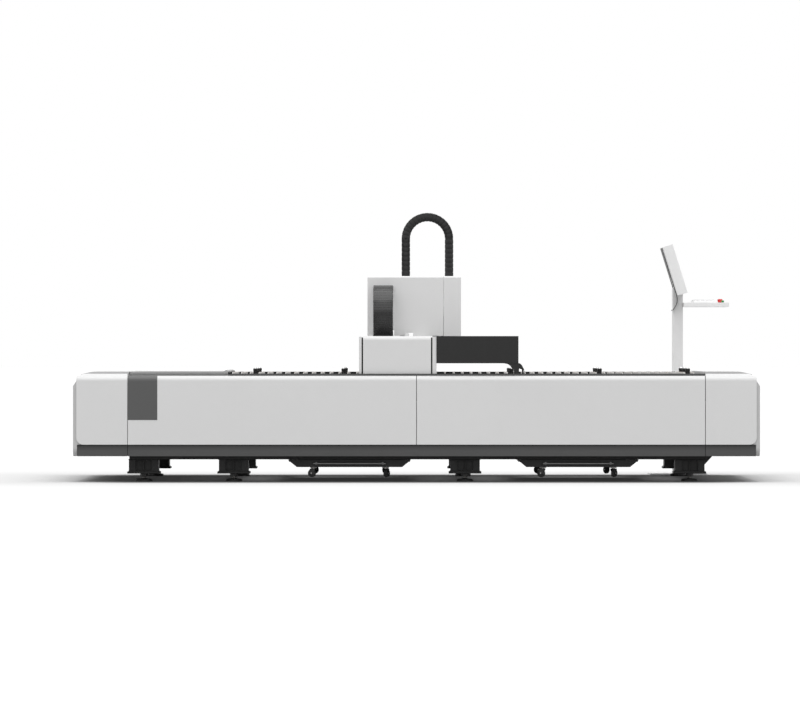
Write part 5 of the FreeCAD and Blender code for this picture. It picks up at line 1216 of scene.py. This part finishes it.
field = both(window(across, 0.30, 0.97), window(up, 0.14, 0.90))
grid = both(window(repeats(across, 30), 0.0, 0.06), window(repeats(up, 20), 0.0, 0.08), "MAXIMUM")
centred_x = math(tree, "SUBTRACT", repeats(across, 6), 0.5)
centred_z = math(tree, "SUBTRACT", repeats(up, 4), 0.5)
squares = both(both(centred_x, centred_x), both(centred_z, centred_z), "ADD")
outline = both(window(squares, 0.10, 0.125), window(squares, 0.012, 0.02), "MAXIMUM")
tiles = both(both(window(across, 0.03, 0.27), window(up, 0.14, 0.90)),
             both(window(repeats(up, 9), 0.12, 0.88), window(repeats(across, 12.5), 0.08, 0.92)))
colour = (0.004, 0.006, 0.010, 1)
for mask, shade in ((field, (0.010, 0.022, 0.034, 1)), (both(field, grid), (0.02, 0.05, 0.07, 1)),
                    (both(field, outline), (0.08, 0.55, 0.42, 1)), (tiles, (0.05, 0.085, 0.13, 1)),
                    (window(up, 0.93, 0.985), (0.07, 0.10, 0.16, 1))):
    colour = blended(tree, mask, colour, shade)
smear = scaled(tree, noise(tree, place, 14.0, 4.0), 0.04, 0.16)
for value, name in ((smear, "Roughness"), (colour, "Base Color"), (colour, "Emission Color")):
    tree.links.new(value, shader.inputs[name])
shader.inputs["Emission Strength"].default_value = 0.9
screen.data.materials.clear()
screen.data.materials.append(glass)

# ---------------------------------------------------------------- push buttons
# A mushroom-headed stop button and a smaller start button in the shelf's front corners.
# Glossy moulded plastic, red and green, each over a plated collar.
red_plastic = painted("red_plastic", (0.62, 0.012, 0.01, 1), 0.22, dirt=0.05, bump=0.05, coat=0.3)
green_plastic = painted("green_plastic", (0.02, 0.30, 0.07, 1), 0.22, dirt=0.05, bump=0.05, coat=0.3)
for node, slot, plastic in (("e_stop_button", "red_plastic", red_plastic),
                            ("start_button", "green_plastic", green_plastic)):
    low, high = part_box(node)
    x, y, radius = (low.x + high.x) / 2, (low.y + high.y) / 2, (high.x - low.x) / 2
    top, base = high.z, 1.2614
    cap = [(0.006, 1.2432), (0.006, base), (radius * 0.78, base), (radius * 0.84, base + 0.002),
           (radius * 0.84, base + (top - base) * 0.42), (radius * 0.99, base + (top - base) * 0.5),
           (radius * 0.995, base + (top - base) * 0.66), (radius * 0.93, base + (top - base) * 0.84),
           (radius * 0.7, top - 0.0012), (radius * 0.35, top - 0.0002)]
    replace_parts(made(node + "_head", [turned_round(cap, (x, y, 0), 40)], node, plastic, smooth=50), node)
    collar = [(radius * 0.62, shelf_top), (radius * 0.98, shelf_top), (radius * 0.98, shelf_top + 0.0014),
              (radius * 0.90, shelf_top + 0.0022), (radius * 0.62, shelf_top + 0.0022)]
    made(node + "_collar", [turned_round(collar, (x, y, 0), 40)], "bed", zinc)
